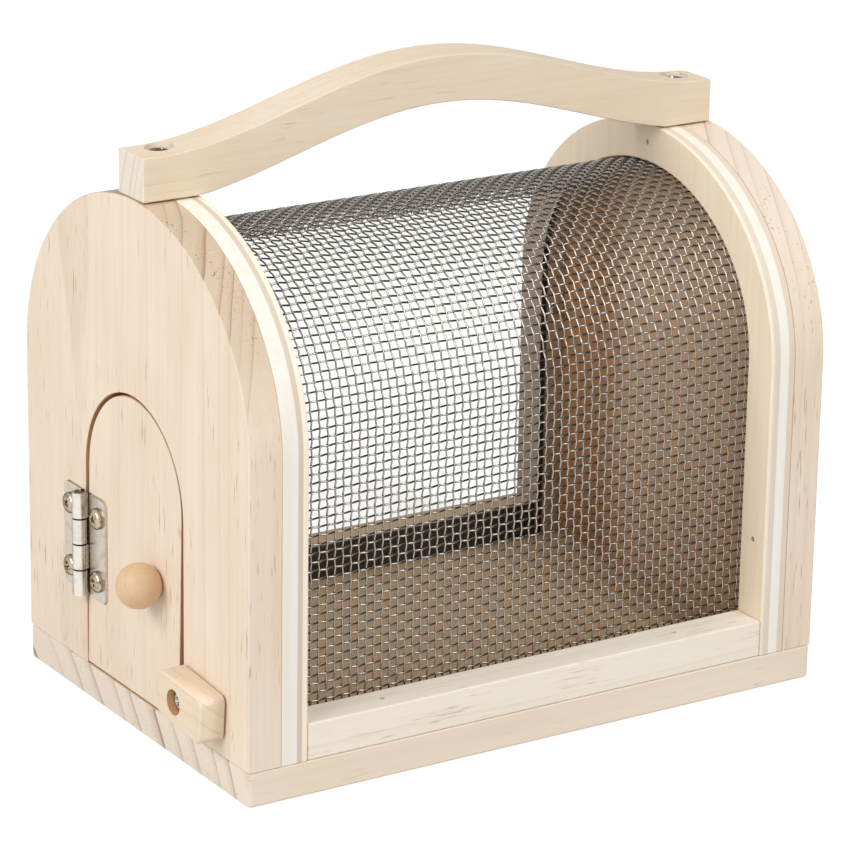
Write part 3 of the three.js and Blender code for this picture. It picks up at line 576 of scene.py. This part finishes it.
def soften(obj, width_mm, segments=3, angle=35):
    apply_modifier(obj, "BEVEL", width=width_mm * MM, segments=segments, limit_method="ANGLE",
                   angle_limit=math.radians(angle), use_clamp_overlap=True)


def soften_face(obj, x, width_mm, segments=3):
    """Rounds only the edges that lie in the upright plane at x."""
    select_where(obj, lambda a, b: abs(a.x - x) < 0.01 and abs(b.x - x) < 0.01, "edges")
    round_edges(width_mm, segments)
    object_mode()


def second_finish(obj, finish, test):
    """Gives the faces that pass the test another finish."""
    obj.data.materials.append(finish)
    select_where(obj, test, "polygons")
    obj.active_material_index = len(obj.data.materials) - 1
    bpy.ops.object.material_slot_assign()
    object_mode()


def finish_piece(obj, name, body, material, slot, *nodes, smooth=30):
    """Names a finished piece, gives it its material and smooth faces, and sets it in the frame."""
    settle(obj)
    bpy.ops.object.shade_smooth_by_angle(angle=math.radians(smooth))
    apply_modifier(obj, "WEIGHTED_NORMAL", keep_sharp=True)
    obj.name = obj.data.name = name
    obj.data.materials.clear()
    obj.data.materials.append(material)
    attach(obj, body)
    if nodes:
        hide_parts(*nodes)
    return obj


def box_mm(node):
    return [Vector(corner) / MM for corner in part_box(node)]

# %% [markdown]
# ## Starting shapes
# Three shapes start nearly every piece: a sawn board, a round bar, which is also the drill, and a plate with
# an arched top. The arch is half an ellipse: its circle is stretched to the outline, its ends are drawn down
# to the foot, and the outline is pushed through as far as the plate is thick.

# %% Starting shapes
def board(low, high):
    """A sawn board between two corners, in millimetres."""
    deselect()
    low, high = Vector(low), Vector(high)
    bpy.ops.mesh.primitive_cube_add(size=MM, location=(low + high) / 2 * MM)
    bpy.context.object.scale = high - low
    return settle(bpy.context.object)


def bar(radius, start, end, sides=32):
    """A round bar between two points, in millimetres."""
    deselect()
    start, end = Vector(start) * MM, Vector(end) * MM
    bpy.ops.mesh.primitive_cylinder_add(vertices=sides, radius=radius * MM, depth=(end - start).length,
                                        location=(start + end) / 2)
    rod = bpy.context.object
    rod.rotation_mode = "QUATERNION"
    rod.rotation_quaternion = (end - start).to_track_quat("Z", "Y")
    return settle(rod)


def upright_circle(sides, radius, axis):
    """An open round at the origin, turned upright about an axis and still selected."""
    deselect()
    bpy.ops.mesh.primitive_circle_add(vertices=sides, radius=radius * MM, fill_type="NOTHING",
                                      location=(0, 0, 0))
    select_all(bpy.context.object)
    rotate(90, axis)
    return bpy.context.object


def arch_outline(x, centre, half_width, spring, rise, facets=128):
    """Half an ellipse over the spring line, drawn in the upright plane at x."""
    outline = upright_circle(facets, 1, "Y")
    resize(1, half_width, rise)
    move(x, centre, spring)
    select_where(outline, lambda place: place.z < spring - 1e-3)
    bpy.ops.mesh.delete(type="VERT")
    return outline


def arched_plate(x_from, x_to, centre, half_width, spring, rise, foot):
    plate = arch_outline(x_from, centre, half_width, spring, rise)
    select_where(plate, lambda place: place.z < spring + 1e-3)
    extrude(z=foot - spring)
    select_all(plate)
    bpy.ops.mesh.edge_face_add()
    extrude(x=x_to - x_from)
    return face_outwards(plate)


def report(*pieces):
    for piece in pieces:
        low, high = [Vector(c) / MM for c in (piece.bound_box[0], piece.bound_box[6])]
        print(piece.name, [round(c, 1) for c in low], "to", [round(c, 1) for c in high],
              len(piece.data.polygons), "faces")

# %% [markdown]
# ## Base board
# A flat pine board with its four upright corners rounded and its edges sanded. Four countersunk screws come
# up through it into the ends, so its underside shows their holes.

# %% Base board
SPRING, RISE = 97, 58.5
HALF_LENGTH, HALF_DEPTH = box_mm("end_board_plain")[1].xy
SEAT = box_mm("end_board_plain")[0].z
base_low, base_high = box_mm("base_board")
END_INNER = box_mm("end_board_plain")[0].x
SCREW_X = (HALF_LENGTH + END_INNER) / 2
SCREW_Y = HALF_DEPTH - 12
BASE_CORNER = 1.5
BASE_HEAD, BASE_SHANK = 3.7, 1.9
BASE_SINK = 2.8
BASE_SCREWS = [(x, y) for x in (-SCREW_X, SCREW_X) for y in (-SCREW_Y, SCREW_Y)]

base = board(base_low, base_high)
select_where(base, lambda a, b: abs(a.z - b.z) > 1, "edges")
round_edges(BASE_CORNER, 4)
soften(base, 0.6)
for x, y in BASE_SCREWS:
    cut(base, bar(BASE_HEAD, (x, y, -1), (x, y, BASE_SINK)),
        bar(BASE_SHANK, (x, y, -1), (x, y, base_high.z + 1)))
finish_piece(base, "base_board_wood", "frame", pine_base, "pine_base", "base_board")
# The top, inside the box, takes painted shade.
second_finish(base, floor_pine_painted_shade, lambda place, normal: normal.z > 0.99)
report(base)

# %% [markdown]
# ## End boards and plywood arches
# Each end is a pine board with an arched top, lined with a plywood arch of the same outline whose middle is
# sawn out. The door's opening is a second, round arch. The edges of the face that shows are rounded, and
# the others, which lie against another board, are hardly broken.

# %% End boards
OPENING_CENTRE, OPENING_RADIUS, OPENING_SPRING = 0.1, 28.5, 70.5
door_end = arched_plate(-HALF_LENGTH, -END_INNER, 0, HALF_DEPTH, SPRING, RISE, SEAT)
cut(door_end, arched_plate(-HALF_LENGTH - 1, -END_INNER + 1, OPENING_CENTRE, OPENING_RADIUS, OPENING_SPRING,
                           OPENING_RADIUS, SEAT - 2))
soften_face(door_end, -HALF_LENGTH, 0.35)
soften(door_end, 0.1, segments=1)
finish_piece(door_end, "door_end_board", "frame", pine_door_end, "pine_end", "end_board_door")
second_finish(door_end, scorched_pine, lambda place, normal: (
    abs(normal.x) < 0.5 and abs(place.y) < 30 and SEAT + 1 < place.z < 100))
# The inner face takes painted shade.
second_finish(door_end, pine_inside_painted_shade, lambda place, normal: normal.x > 0.99)

plain_end = arched_plate(END_INNER, HALF_LENGTH, 0, HALF_DEPTH, SPRING, RISE, SEAT)
soften_face(plain_end, HALF_LENGTH, 0.5)
soften(plain_end, 0.1, segments=1)
finish_piece(plain_end, "plain_end_board", "frame", pine_plain_end, "pine_end", "end_board_plain")
# The inner face takes painted shade.
second_finish(plain_end, pine_inside_painted_shade, lambda place, normal: normal.x < -0.99)
report(door_end, plain_end)

# %% Plywood arches
ARCH_WIDTH = 11.4
BRAD_PIT = 0.8
PLY_IN, PLY_OUT = PLY_INNER / MM, PLY_FACE / MM
ARCH_MIDDLE = HALF_DEPTH - ARCH_WIDTH / 2
CREST = SPRING + RISE
ply_brads = [(-ARCH_MIDDLE, 44.5), (ARCH_MIDDLE, 44.5), (0, CREST - ARCH_WIDTH / 2)]
for side, name, finish in ((-1, "door_end", plywood_door_end), (1, "plain_end", plywood_plain_end)):
    low, high = sorted((side * PLY_IN, side * PLY_OUT))
    arch = arched_plate(low, high, 0, HALF_DEPTH, SPRING, RISE, SEAT)
    cut(arch, arched_plate(low - 1, high + 1, 0, HALF_DEPTH - ARCH_WIDTH, SPRING, RISE - ARCH_WIDTH,
                           SEAT - 2))
    soften_face(arch, side * PLY_IN, 0.4)
    soften(arch, 0.1, segments=1)
    cut(arch, *[bar(BRAD_PIT, (side * (PLY_IN - 1), y, z), (side * (PLY_IN + 1.4), y, z), 16)
                for y, z in ply_brads])
    finish_piece(arch, name + "_ply_arch", "frame", finish, "plywood", "ply_arch_" + name)
    report(arch)

# %% [markdown]
# ## Rails
# Two pine rails join the arches, one in front and one behind. Brads go down through each into the base. They
# were punched just under the surface, which leaves a small dark pit.

# %% Rails
RAIL_TOP = box_mm("front_rail")[1].z
RAIL_BRAD_X = box_mm("front_rail")[1].x - 27
for side, name in ((-1, "front"), (1, "rear")):
    rail = board(*box_mm(name + "_rail"))
    soften(rail, 0.5)
    middle = side * ARCH_MIDDLE
    cut(rail, *[bar(BRAD_PIT, (x, middle, RAIL_TOP - 1.4), (x, middle, RAIL_TOP + 1), 16)
                for x in (-RAIL_BRAD_X, RAIL_BRAD_X)])
    finish_piece(rail, name + "_rail_wood", "frame", pine_rail, "pine_base", name + "_rail")
    # The inner face is painted nearly black as painted deep shade, and the rear rail's top takes painted
    # shade.
    second_finish(rail, rail_painted_deep_shade, lambda place, normal: normal.y * side < -0.2)
    if side > 0:
        second_finish(rail, floor_pine_painted_shade, lambda place, normal: normal.z > 0.99)
    report(rail)

# %% [markdown]
# ## Bow handle
# The handle is one pine strip, sawn along a bow: flat seats at both ends and one long rise between. It
# starts as a straight strip with many cuts across it. Each cut's top and bottom are then lifted by the bow's
# height there, the long edges are rounded, and the screw holes are counterbored.

# %% Bow handle
handle_low, handle_high = box_mm("handle")
BOW, BOW_REACH, BOW_CENTRE, FULLNESS = 17.7, 90.6, 0.8, 0.92
SEAT_END = PLY_IN
HANDLE_TOP = handle_low.z + 12.4
HANDLE_SCREWS = (-85.2, 86.5)
HANDLE_SCREW_Y = 2
HANDLE_BORE, HANDLE_SHANK, HANDLE_SINK = 4.2, 1.9, 2.8


def handle_rise(x):
    away = min(abs(x - BOW_CENTRE), BOW_REACH)
    return BOW * ((1 + math.cos(math.pi * away / BOW_REACH)) / 2) ** FULLNESS


handle = board(handle_low, (handle_high.x, handle_high.y, HANDLE_TOP))
STRIPS = 72
strip = (handle_high.x - handle_low.x) / STRIPS
for i in range(1, STRIPS):
    select_all(handle)
    bpy.ops.mesh.bisect(plane_co=((handle_low.x + i * strip) * MM, 0, 0), plane_no=(1, 0, 0))
for i in range(STRIPS + 1):
    x = handle_low.x + i * strip
    select_where(handle, lambda place: abs(place.x - x) < 0.01 and place.z > HANDLE_TOP - 1)
    move(z=handle_rise(x))
    select_where(handle, lambda place: abs(place.x - x) < 0.01 and place.z < handle_low.z + 1)
    if abs(x) < SEAT_END:
        move(z=max(0, handle_rise(x) - handle_rise(-SEAT_END)))
select_where(handle, lambda a, b: (
    min(a.x, b.x) > handle_high.x - 0.01 and min(a.y, b.y) > 0 and abs(a.z - b.z) > 1), "edges")
round_edges(3, 6)
soften(handle, 0.8)
for x in HANDLE_SCREWS:
    low, seat, face, high = [(x, HANDLE_SCREW_Y, z) for z in (
        handle_low.z - 1, HANDLE_TOP - HANDLE_SINK, HANDLE_TOP, HANDLE_TOP + 9)]
    cut(handle, bar(HANDLE_BORE, seat, high, 48), bar(HANDLE_SHANK, low, face))
finish_piece(handle, "bow_handle", "frame", pine_handle, "handle_wood", "handle")
report(handle)

# %% [markdown]
# ## Door and knob
# The door was sawn from the same board as its opening and hung by hand, so it leans a little to its free
# side. It is built upright, turned by that lean, and its foot is sawn off level. Behind, its free edge is
# bevelled to clear the frame as it swings. The knob is a turned beech ball with a flat where it meets the
# door.

# %% Door
DOOR_RADIUS, DOOR_SPRING, DOOR_CENTRE, DOOR_LEAN = 26.9, 71.5, -0.449, 1.7
DOOR_FOOT = box_mm("door_panel")[0].z
KNOB = (-13.48, 48.8)
door = arched_plate(-HALF_LENGTH, -END_INNER, DOOR_CENTRE, DOOR_RADIUS, DOOR_SPRING, DOOR_RADIUS, 3)
select_all(door)
rotate(-DOOR_LEAN, "X", (0, DOOR_CENTRE, DOOR_SPRING))
select_where(door, lambda place: place.x > -END_INNER - 0.01)
back = 1 - 0.85 / DOOR_RADIUS
resize(1, back, back, (0, DOOR_CENTRE + DOOR_RADIUS, DOOR_SPRING))
select_all(door)
bpy.ops.mesh.bisect(plane_co=(0, 0, DOOR_FOOT * MM), plane_no=(0, 0, 1), clear_inner=True, use_fill=True)
face_outwards(door)
soften(door, 0.5)
cut(door, bar(3.9, (-END_INNER - 2.5, *KNOB), (-END_INNER + 1, *KNOB)))
finish_piece(door, "arched_door", "door", pine_door_end, "pine_end", "door_panel")
second_finish(door, scorched_pine, lambda place, normal: abs(normal.x) < 0.5)
report(door)
print("door box in the frame:", [[round(c, 1) for c in corner] for corner in box_mm("door_panel")])

# %% Ball knob
knob_low, knob_high = box_mm("door_knob")
KNOB_RADIUS = 6.55
deselect()
bpy.ops.mesh.primitive_uv_sphere_add(segments=64, ring_count=32, radius=KNOB_RADIUS * MM,
                                     rotation=(0, math.pi / 2, 0),
                                     location=Vector((knob_low.x + KNOB_RADIUS, *KNOB)) * MM)
knob = settle(bpy.context.object)
select_all(knob)
bpy.ops.mesh.bisect(plane_co=(knob_high.x * MM, 0, 0), plane_no=(1, 0, 0), clear_outer=True, use_fill=True)
select_where(knob, lambda a, b: min(a.x, b.x) > knob_high.x - 0.001, "edges")
round_edges(0.3, 3)
face_outwards(knob)
finish_piece(knob, "ball_knob", "door", turned_beech, "beech", "door_knob")
report(knob)

# %% [markdown]
# ## Turn button
# A block of pine with rounded corners that turns on one screw and holds the door shut. Its counterbore is
# deep, so that the screw head lies well below the face.

# %% Turn button
PIVOT = (-37.8, 23.3)
BUTTON_BACK = -HALF_LENGTH - 0.4
BUTTON_FACE = BUTTON_BACK - 8
BUTTON_TILT = 4.5
BUTTON_LONG, BUTTON_SHORT, BUTTON_HALF = 14.8, 9, 6.65
button = board((BUTTON_FACE, PIVOT[0] - BUTTON_LONG, PIVOT[1] - BUTTON_HALF),
               (BUTTON_BACK, PIVOT[0] + BUTTON_SHORT, PIVOT[1] + BUTTON_HALF))
select_where(button, lambda a, b: abs(a.x - b.x) > 1, "edges")
round_edges(2, 5)
soften(button, 0.7)
select_all(button)
rotate(-BUTTON_TILT, "X", (0, *PIVOT))
cut(button, bar(3.7, (BUTTON_FACE - 1, *PIVOT), (BUTTON_FACE + 2.9, *PIVOT), 48),
    bar(1.6, (BUTTON_FACE, *PIVOT), (BUTTON_BACK + 1, *PIVOT)))
finish_piece(button, "turn_button_wood", "button", pine_button, "button_wood", "turn_button")
second_finish(button, scorched_pine, lambda place, normal: (
    BUTTON_FACE + 0.1 < place.x < BUTTON_FACE + 3 and math.hypot(place.y - PIVOT[0], place.z - PIVOT[1]) < 3.8
    or place.x > BUTTON_BACK - 0.5 and normal.x < 0.9 and place.y < PIVOT[0] - 12))
report(button)
print("button box in the frame:", [[round(c, 1) for c in corner] for corner in box_mm("turn_button")])

# %% [markdown]
# ## Butt hinge
# Each leaf is pressed from thin sheet. At its knuckles the sheet runs on past the plate and is rolled round
# the pin, and a narrow slot stays where its end meets the plate. So each knuckle is spun from a cut across
# the sheet, not made as a tube. The leaves share the pin in turn.

# %% Butt hinge
PIN_X, PIN_Y, LEAF_X = -97.35, 27.88, -95.1
LEAF_THICKNESS = 0.8
LEAF_REACH = 12.3
BARREL_RADIUS = 2.55
HINGE_SCREW_Y, HINGE_SCREW_Z = 8, (38.1, 57.1)
pin_low, pin_high = box_mm("hinge_pin")
HINGE_LOW, HINGE_HIGH = pin_low.z, pin_high.z
KNUCKLE = (HINGE_HIGH - HINGE_LOW) / 4


def rolled_knuckle(side, low, high):
    deselect()
    bpy.ops.mesh.primitive_plane_add(size=MM, rotation=(math.pi / 2, 0, 0), location=(
        (LEAF_X - LEAF_THICKNESS / 2) * MM, PIN_Y * MM, (low + high) / 2 * MM))
    bpy.context.object.scale = (LEAF_THICKNESS, high - low, 1)
    roll = settle(bpy.context.object)
    select_all(roll)
    bpy.ops.mesh.spin(steps=30, angle=math.radians(300), center=(PIN_X * MM, PIN_Y * MM, 0),
                      axis=(0, 0, -side))
    select_all(roll)
    bpy.ops.mesh.remove_doubles(threshold=0.001 * MM)
    bpy.ops.mesh.fill_holes(sides=4)
    return face_outwards(roll)


def hinge_leaf(side, first_own):
    """side is 1 for the leaf on the frame and -1 for the one on the door."""
    near, far = PIN_Y + side * 0.3, PIN_Y + side * LEAF_REACH
    leaf = board((LEAF_X - LEAF_THICKNESS, min(near, far), HINGE_LOW), (LEAF_X, max(near, far), HINGE_HIGH))
    select_where(leaf, lambda a, b: abs(a.x - b.x) > 0.1 and abs(a.y - far) < 0.1, "edges")
    round_edges(2, 6)
    for i in range(4):
        low, high = HINGE_LOW + i * KNUCKLE, HINGE_LOW + (i + 1) * KNUCKLE
        if i % 2 != first_own:
            cut(leaf, bar(BARREL_RADIUS, (PIN_X, PIN_Y, low - 0.15), (PIN_X, PIN_Y, high + 0.15)))
            continue
        low, high = low + (0.25 if i else 0), high - (0.25 if i < 3 else 0)
        edges = sorted((PIN_Y, PIN_Y + side * 1.5))
        weld(leaf, board((LEAF_X - LEAF_THICKNESS, edges[0], low), (LEAF_X, edges[1], high)),
             rolled_knuckle(side, low, high))
    soften(leaf, 0.14, segments=2, angle=40)
    return leaf


for side, first_own, part in ((1, 0, "frame"), (-1, 1, "door")):
    leaf = hinge_leaf(side, first_own)
    finish_piece(leaf, "hinge_leaf_on_" + part, part, nickel, "nickel", "hinge_leaf_" + part, smooth=40)
    report(leaf)
pin = bar(1.2, (PIN_X, PIN_Y, HINGE_LOW), (PIN_X, PIN_Y, HINGE_HIGH), 24)
soften(pin, 0.3)
finish_piece(pin, "hinge_pin_rod", "frame", pin_steel_painted_gap_shade, "nickel", "hinge_pin", smooth=40)
report(pin)

# %% [markdown]
# ## Screws, brads and tacks
# A screw is turned from one round: its face is drawn up and narrowed ring by ring to the dome of the head,
# and the other side is inset and drawn out to the shank. Two crossed tapered blades cut the cross recess.
# Each kind is modelled once and copied to its places, each turned a little differently, as a hand leaves
# them.

# %% Screw and brad patterns
DOME = [(0.3, 1.0), (0.6, 0.95), (0.82, 0.83), (0.95, 0.66), (1.0, 0.5)]
COUNTERSUNK = [(0.93, 1.0), (1.0, 0.98)]


def turned_fastener(head_radius, head_height, shank_radius, length, dome, seat_radius, sides=32):
    """Stands with its head's top at the origin and its point down. dome lists height and radius shares."""
    deselect()
    bpy.ops.mesh.primitive_circle_add(vertices=sides, radius=seat_radius * MM, fill_type="NGON",
                                      location=(0, 0, -head_height * MM))
    screw = settle(bpy.context.object)
    select_all(screw)
    height, radius = 0, seat_radius
    for next_height, share in dome:
        extrude(z=(next_height - height) * head_height)
        resize(share * head_radius / radius, share * head_radius / radius)
        height, radius = next_height, share * head_radius
    face_outwards(screw)
    select_where(screw, lambda place, normal: normal.z < -0.99, "polygons")
    if seat_radius > shank_radius:
        bpy.ops.mesh.inset(thickness=(seat_radius - shank_radius) * MM)
    extrude(z=-(length - head_height - 2 * shank_radius))
    extrude(z=-2 * shank_radius)
    resize(0.15, 0.15)
    return face_outwards(screw)


def cross_recess(screw, head_radius, depth):
    for span in ((1.2, 0.26), (0.26, 1.2)):
        x, y = [s * head_radius / 2 for s in span]
        blade = board((-x, -y, -depth), (x, y, depth))
        select_where(blade, lambda place: place.z < 0)
        resize(0.4 if x > y else 0.7, 0.7 if x > y else 0.4)
        object_mode()
        cut(screw, blade)
    return screw


def place_copies(pattern, finish, slot, places):
    """places lists a name, a point, the direction of the shank, a twist in degrees, a body and a node."""
    for name, point, direction, twist, body, node in places:
        copy = bpy.data.objects.new(name, pattern.data.copy())
        scene.collection.objects.link(copy)
        copy.location = Vector(point) * MM
        copy.rotation_mode = "QUATERNION"
        turn = Vector(direction).to_track_quat("-Z", "Y")
        copy.rotation_quaternion = turn @ Matrix.Rotation(math.radians(twist), 3, "Z").to_quaternion()
        finish_piece(copy, name, body, finish, slot, node, smooth=50)
    bpy.data.objects.remove(pattern)
    print(len(places), "copies of", places[0][0])

# %% Screws
HEAD_FACE = LEAF_X - LEAF_THICKNESS - 1.7
hinge_screw = cross_recess(turned_fastener(3.1, 1.7, 1.1, 8, DOME, 3.1), 3.1, 1.1)
hinge_screw_places = []
for side, part, twists in ((1, "frame", (12, 58)), (-1, "door", (31, 74))):
    for i, (z, twist) in enumerate(zip(HINGE_SCREW_Z, twists)):
        point = (HEAD_FACE, PIN_Y + HINGE_SCREW_Y * side, z)
        hinge_screw_places.append((f"pan_screw_{part}_{i + 1}", point, (1, 0, 0), twist, part,
                                   f"hinge_screw_{part}_{i + 1}"))
place_copies(hinge_screw, screw_steel, "nickel", hinge_screw_places)
button_screw = cross_recess(turned_fastener(3.3, 1.5, 1.3, 12.5, DOME, 3.3), 3.3, 1.0)
place_copies(button_screw, nickel, "zinc", [
    ("pan_screw_turn_button", (BUTTON_FACE + 1.4, *PIVOT), (1, 0, 0), 20, "frame", "turn_button_screw")])
handle_screw = cross_recess(turned_fastener(3.6, 2.2, 1.6, 24, DOME, 3.6), 3.6, 1.4)
place_copies(handle_screw, zinc, "zinc", [
    (f"pan_screw_handle_{end}", (x, HANDLE_SCREW_Y, HANDLE_TOP - 0.6), (0, 0, -1), twist, "frame",
     f"handle_screw_{end}") for end, x, twist in zip(("door_end", "plain_end"), HANDLE_SCREWS, (25, 70))])
base_screw = cross_recess(turned_fastener(3.4, 2.2, 1.6, 26, COUNTERSUNK, 1.6), 3.4, 1.5)
place_copies(base_screw, zinc, "zinc", [
    (f"flat_screw_base_{i + 1}", (x, y, 0.3), (0, 0, 1), 20 + 23 * i, "frame", f"base_screw_{i + 1}")
    for i, (x, y) in enumerate(BASE_SCREWS)])
knob_screw = cross_recess(turned_fastener(3.6, 2.2, 1.5, 15.9, COUNTERSUNK, 1.5), 3.6, 1.5)
place_copies(knob_screw, zinc, "zinc", [
    ("flat_screw_knob", (-END_INNER - 0.3, *KNOB), (-1, 0, 0), 40, "door", "knob_screw")])

# %% Brads and tacks
brad = turned_fastener(0.7, 0.5, 0.4, 13, [(0.7, 1.0), (1.0, 0.8)], 0.7, 16)
brad_places = []
for side, name in ((-1, "door_end"), (1, "plain_end")):
    for i, (y, z) in enumerate(ply_brads):
        brad_places.append((f"brad_ply_{name}_{i + 1}", (side * (PLY_IN + 0.4), y, z), (side, 0, 0), 0,
                            "frame", f"ply_brad_{name}_{i + 1}"))
for side, name in ((-1, "front"), (1, "rear")):
    for i, x in enumerate((-RAIL_BRAD_X, RAIL_BRAD_X)):
        brad_places.append((f"brad_rail_{name}_{i + 1}", (x, side * ARCH_MIDDLE, RAIL_TOP - 0.4), (0, 0, -1),
                            0, "frame", f"{name}_rail_brad_{i + 1}"))
place_copies(brad, zinc, "zinc", brad_places)
tack = turned_fastener(1.5, 0.5, 0.5, 8, [(0.4, 1.0), (0.8, 0.85), (1.0, 0.55)], 1.5, 24)
MESH_GAP = 0.3
WINDOW_THICKNESS = 1
window_outer = HALF_DEPTH - ARCH_WIDTH - MESH_GAP
window_inner = window_outer - WINDOW_THICKNESS
place_copies(tack, zinc, "zinc", [
    (f"round_tack_{name}_{i + 1}", (side * (PLY_IN + PLY_OUT) / 2, window_inner - 0.5, z), (0, 1, 0), 0,
     "frame", f"window_tack_{name}_{i + 1}")
    for side, name in ((-1, "door_end"), (1, "plain_end")) for i, z in enumerate((30, 84))])

# %% [markdown]
# ## Staples
# The staples that hold the mesh are plain bent wire, and the frame's own solids already have that shape.
# They only get the plated finish.

# %% Staples
staples = [node for name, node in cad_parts.items() if "staple" in name]
for staple in staples:
    staple.data.materials.clear()
    staple.data.materials.append(zinc)
print("staples:", len(staples))

# %% [markdown]
# ## Clear window
# One sheet of clear acetate, bent over the rear of the arches. Its line is drawn once, pushed along the box
# and given its thickness inwards, so the outer face stays on the line.

# %% Clear window
window_low, window_high = box_mm("rear_window")
window_rise = RISE - ARCH_WIDTH - MESH_GAP
window = arch_outline(window_low.x, 0, window_outer, SPRING, window_rise, facets=360)
WINDOW_TOP = math.radians(37.1)
select_where(window, lambda place: (
    math.atan2((place.z - SPRING) / window_rise, place.y / window_outer) > WINDOW_TOP))
bpy.ops.mesh.delete(type="VERT")
select_where(window, lambda place: place.z < SPRING + 1e-3)
extrude(z=window_low.z - SPRING)
select_all(window)
extrude(x=window_high.x - window_low.x)
face_outwards(window)
apply_modifier(window, "SOLIDIFY", thickness=WINDOW_THICKNESS * MM, offset=-1)
finish_piece(window, "clear_rear_window", "frame", clear_sheet, "clear_sheet", "rear_window")
report(window)

# %% [markdown]
# ## Woven wire mesh
# The real mesh is plain woven: two sets of crimped wires, ten to the inch, passing over and under each
# other. It is woven flat here as it is on a loom, from one crimped length repeated by Array modifiers, and
# then rolled over the arches with a Curve modifier that follows their line.

# %% Line of the arches that the mesh follows
PITCH = 2.54
WIRE = 0.57
LIFT = 0.52 * WIRE
mesh_low, mesh_high = box_mm("wire_mesh")
inset = LIFT + WIRE / 2
mesh_reach = -mesh_low.y - inset
mesh_rise = mesh_high.z - SPRING - inset
REAR_EDGE = math.radians(38)

arch_line = arch_outline(0, 0, mesh_reach, SPRING, mesh_rise, facets=360)
select_where(arch_line, lambda place: (
    math.atan2((place.z - SPRING) / mesh_rise, place.y / mesh_reach) < REAR_EDGE - 1e-4))
bpy.ops.mesh.delete(type="VERT")
select_where(arch_line, lambda place: place.y < -mesh_reach * 0.99999)
extrude(z=mesh_low.z - SPRING)
object_mode()
pick(arch_line)
bpy.ops.object.convert(target="CURVE")
arch_line = bpy.context.object
line_points = [p.co.xyz / MM for p in arch_line.data.splines[0].points]
line_length = sum((b - a).length for a, b in zip(line_points, line_points[1:]))
print("arch line:", round(line_length, 1), "mm")

# %% Weave the mesh flat and roll it over the arches
def crimped_wire(along, start):
    """A six-sided bar that passes over one crossing and under the next."""
    wire = upright_circle(6, WIRE / 2, "Y" if along == "X" else "X")
    move(z=start)
    last = start
    for height in (0, -start, 0, start):
        extrude(x=PITCH / 2 if along == "X" else 0, y=0 if along == "X" else PITCH / 2, z=height - last)
        last = height
    object_mode()
    return wire


def repeat(obj, count, direction, **settings):
    """Repeats a piece every two crossings along a direction."""
    apply_modifier(obj, "ARRAY", count=count, use_relative_offset=False, use_constant_offset=True,
                   constant_offset_displace=[2 * PITCH * MM * d for d in direction], **settings)


def weave(along, crossings, wires, first):
    """Two neighbouring wires, one starting up and one down, repeated across the cloth."""
    across = (0, 1, 0) if along == "X" else (1, 0, 0)
    run = (1, 0, 0) if along == "X" else (0, 1, 0)
    pair = []
    for side in (0, 1):
        wire = crimped_wire(along, LIFT * first * (1 - 2 * side))
        repeat(wire, crossings // 2, run, use_merge_vertices=True, merge_threshold=0.01 * WIRE * MM)
        wire.location = [side * PITCH * MM * a for a in across]
        pair.append(wire)
    deselect()
    for wire in pair:
        wire.select_set(True)
    bpy.context.view_layer.objects.active = pair[0]
    bpy.ops.object.join()
    cloth = settle(bpy.context.object)
    repeat(cloth, wires // 2, across)
    select_all(cloth)
    bpy.ops.mesh.fill_holes(sides=6)
    return face_outwards(cloth)


around = 2 * round(line_length / PITCH / 2)
along = 2 * round((mesh_high.x - mesh_low.x) / PITCH / 2)
start = Vector(((line_length - around * PITCH) / 2, -along * PITCH / 2, 0)) * MM
for name, wire, cloth in (("mesh_hoop_wires", hoop_wire, weave("X", around, along, 1)),
                          ("mesh_length_wires", length_wire, weave("Y", along, around, -1))):
    cloth.location = start
    settle(cloth)
    apply_modifier(cloth, "CURVE", object=arch_line, deform_axis="POS_X")
    finish_piece(cloth, name, "frame", wire, "mesh_wire", "wire_mesh", smooth=80)
    report(cloth)
bpy.data.objects.remove(arch_line)

# %% Overall size
low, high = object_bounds()
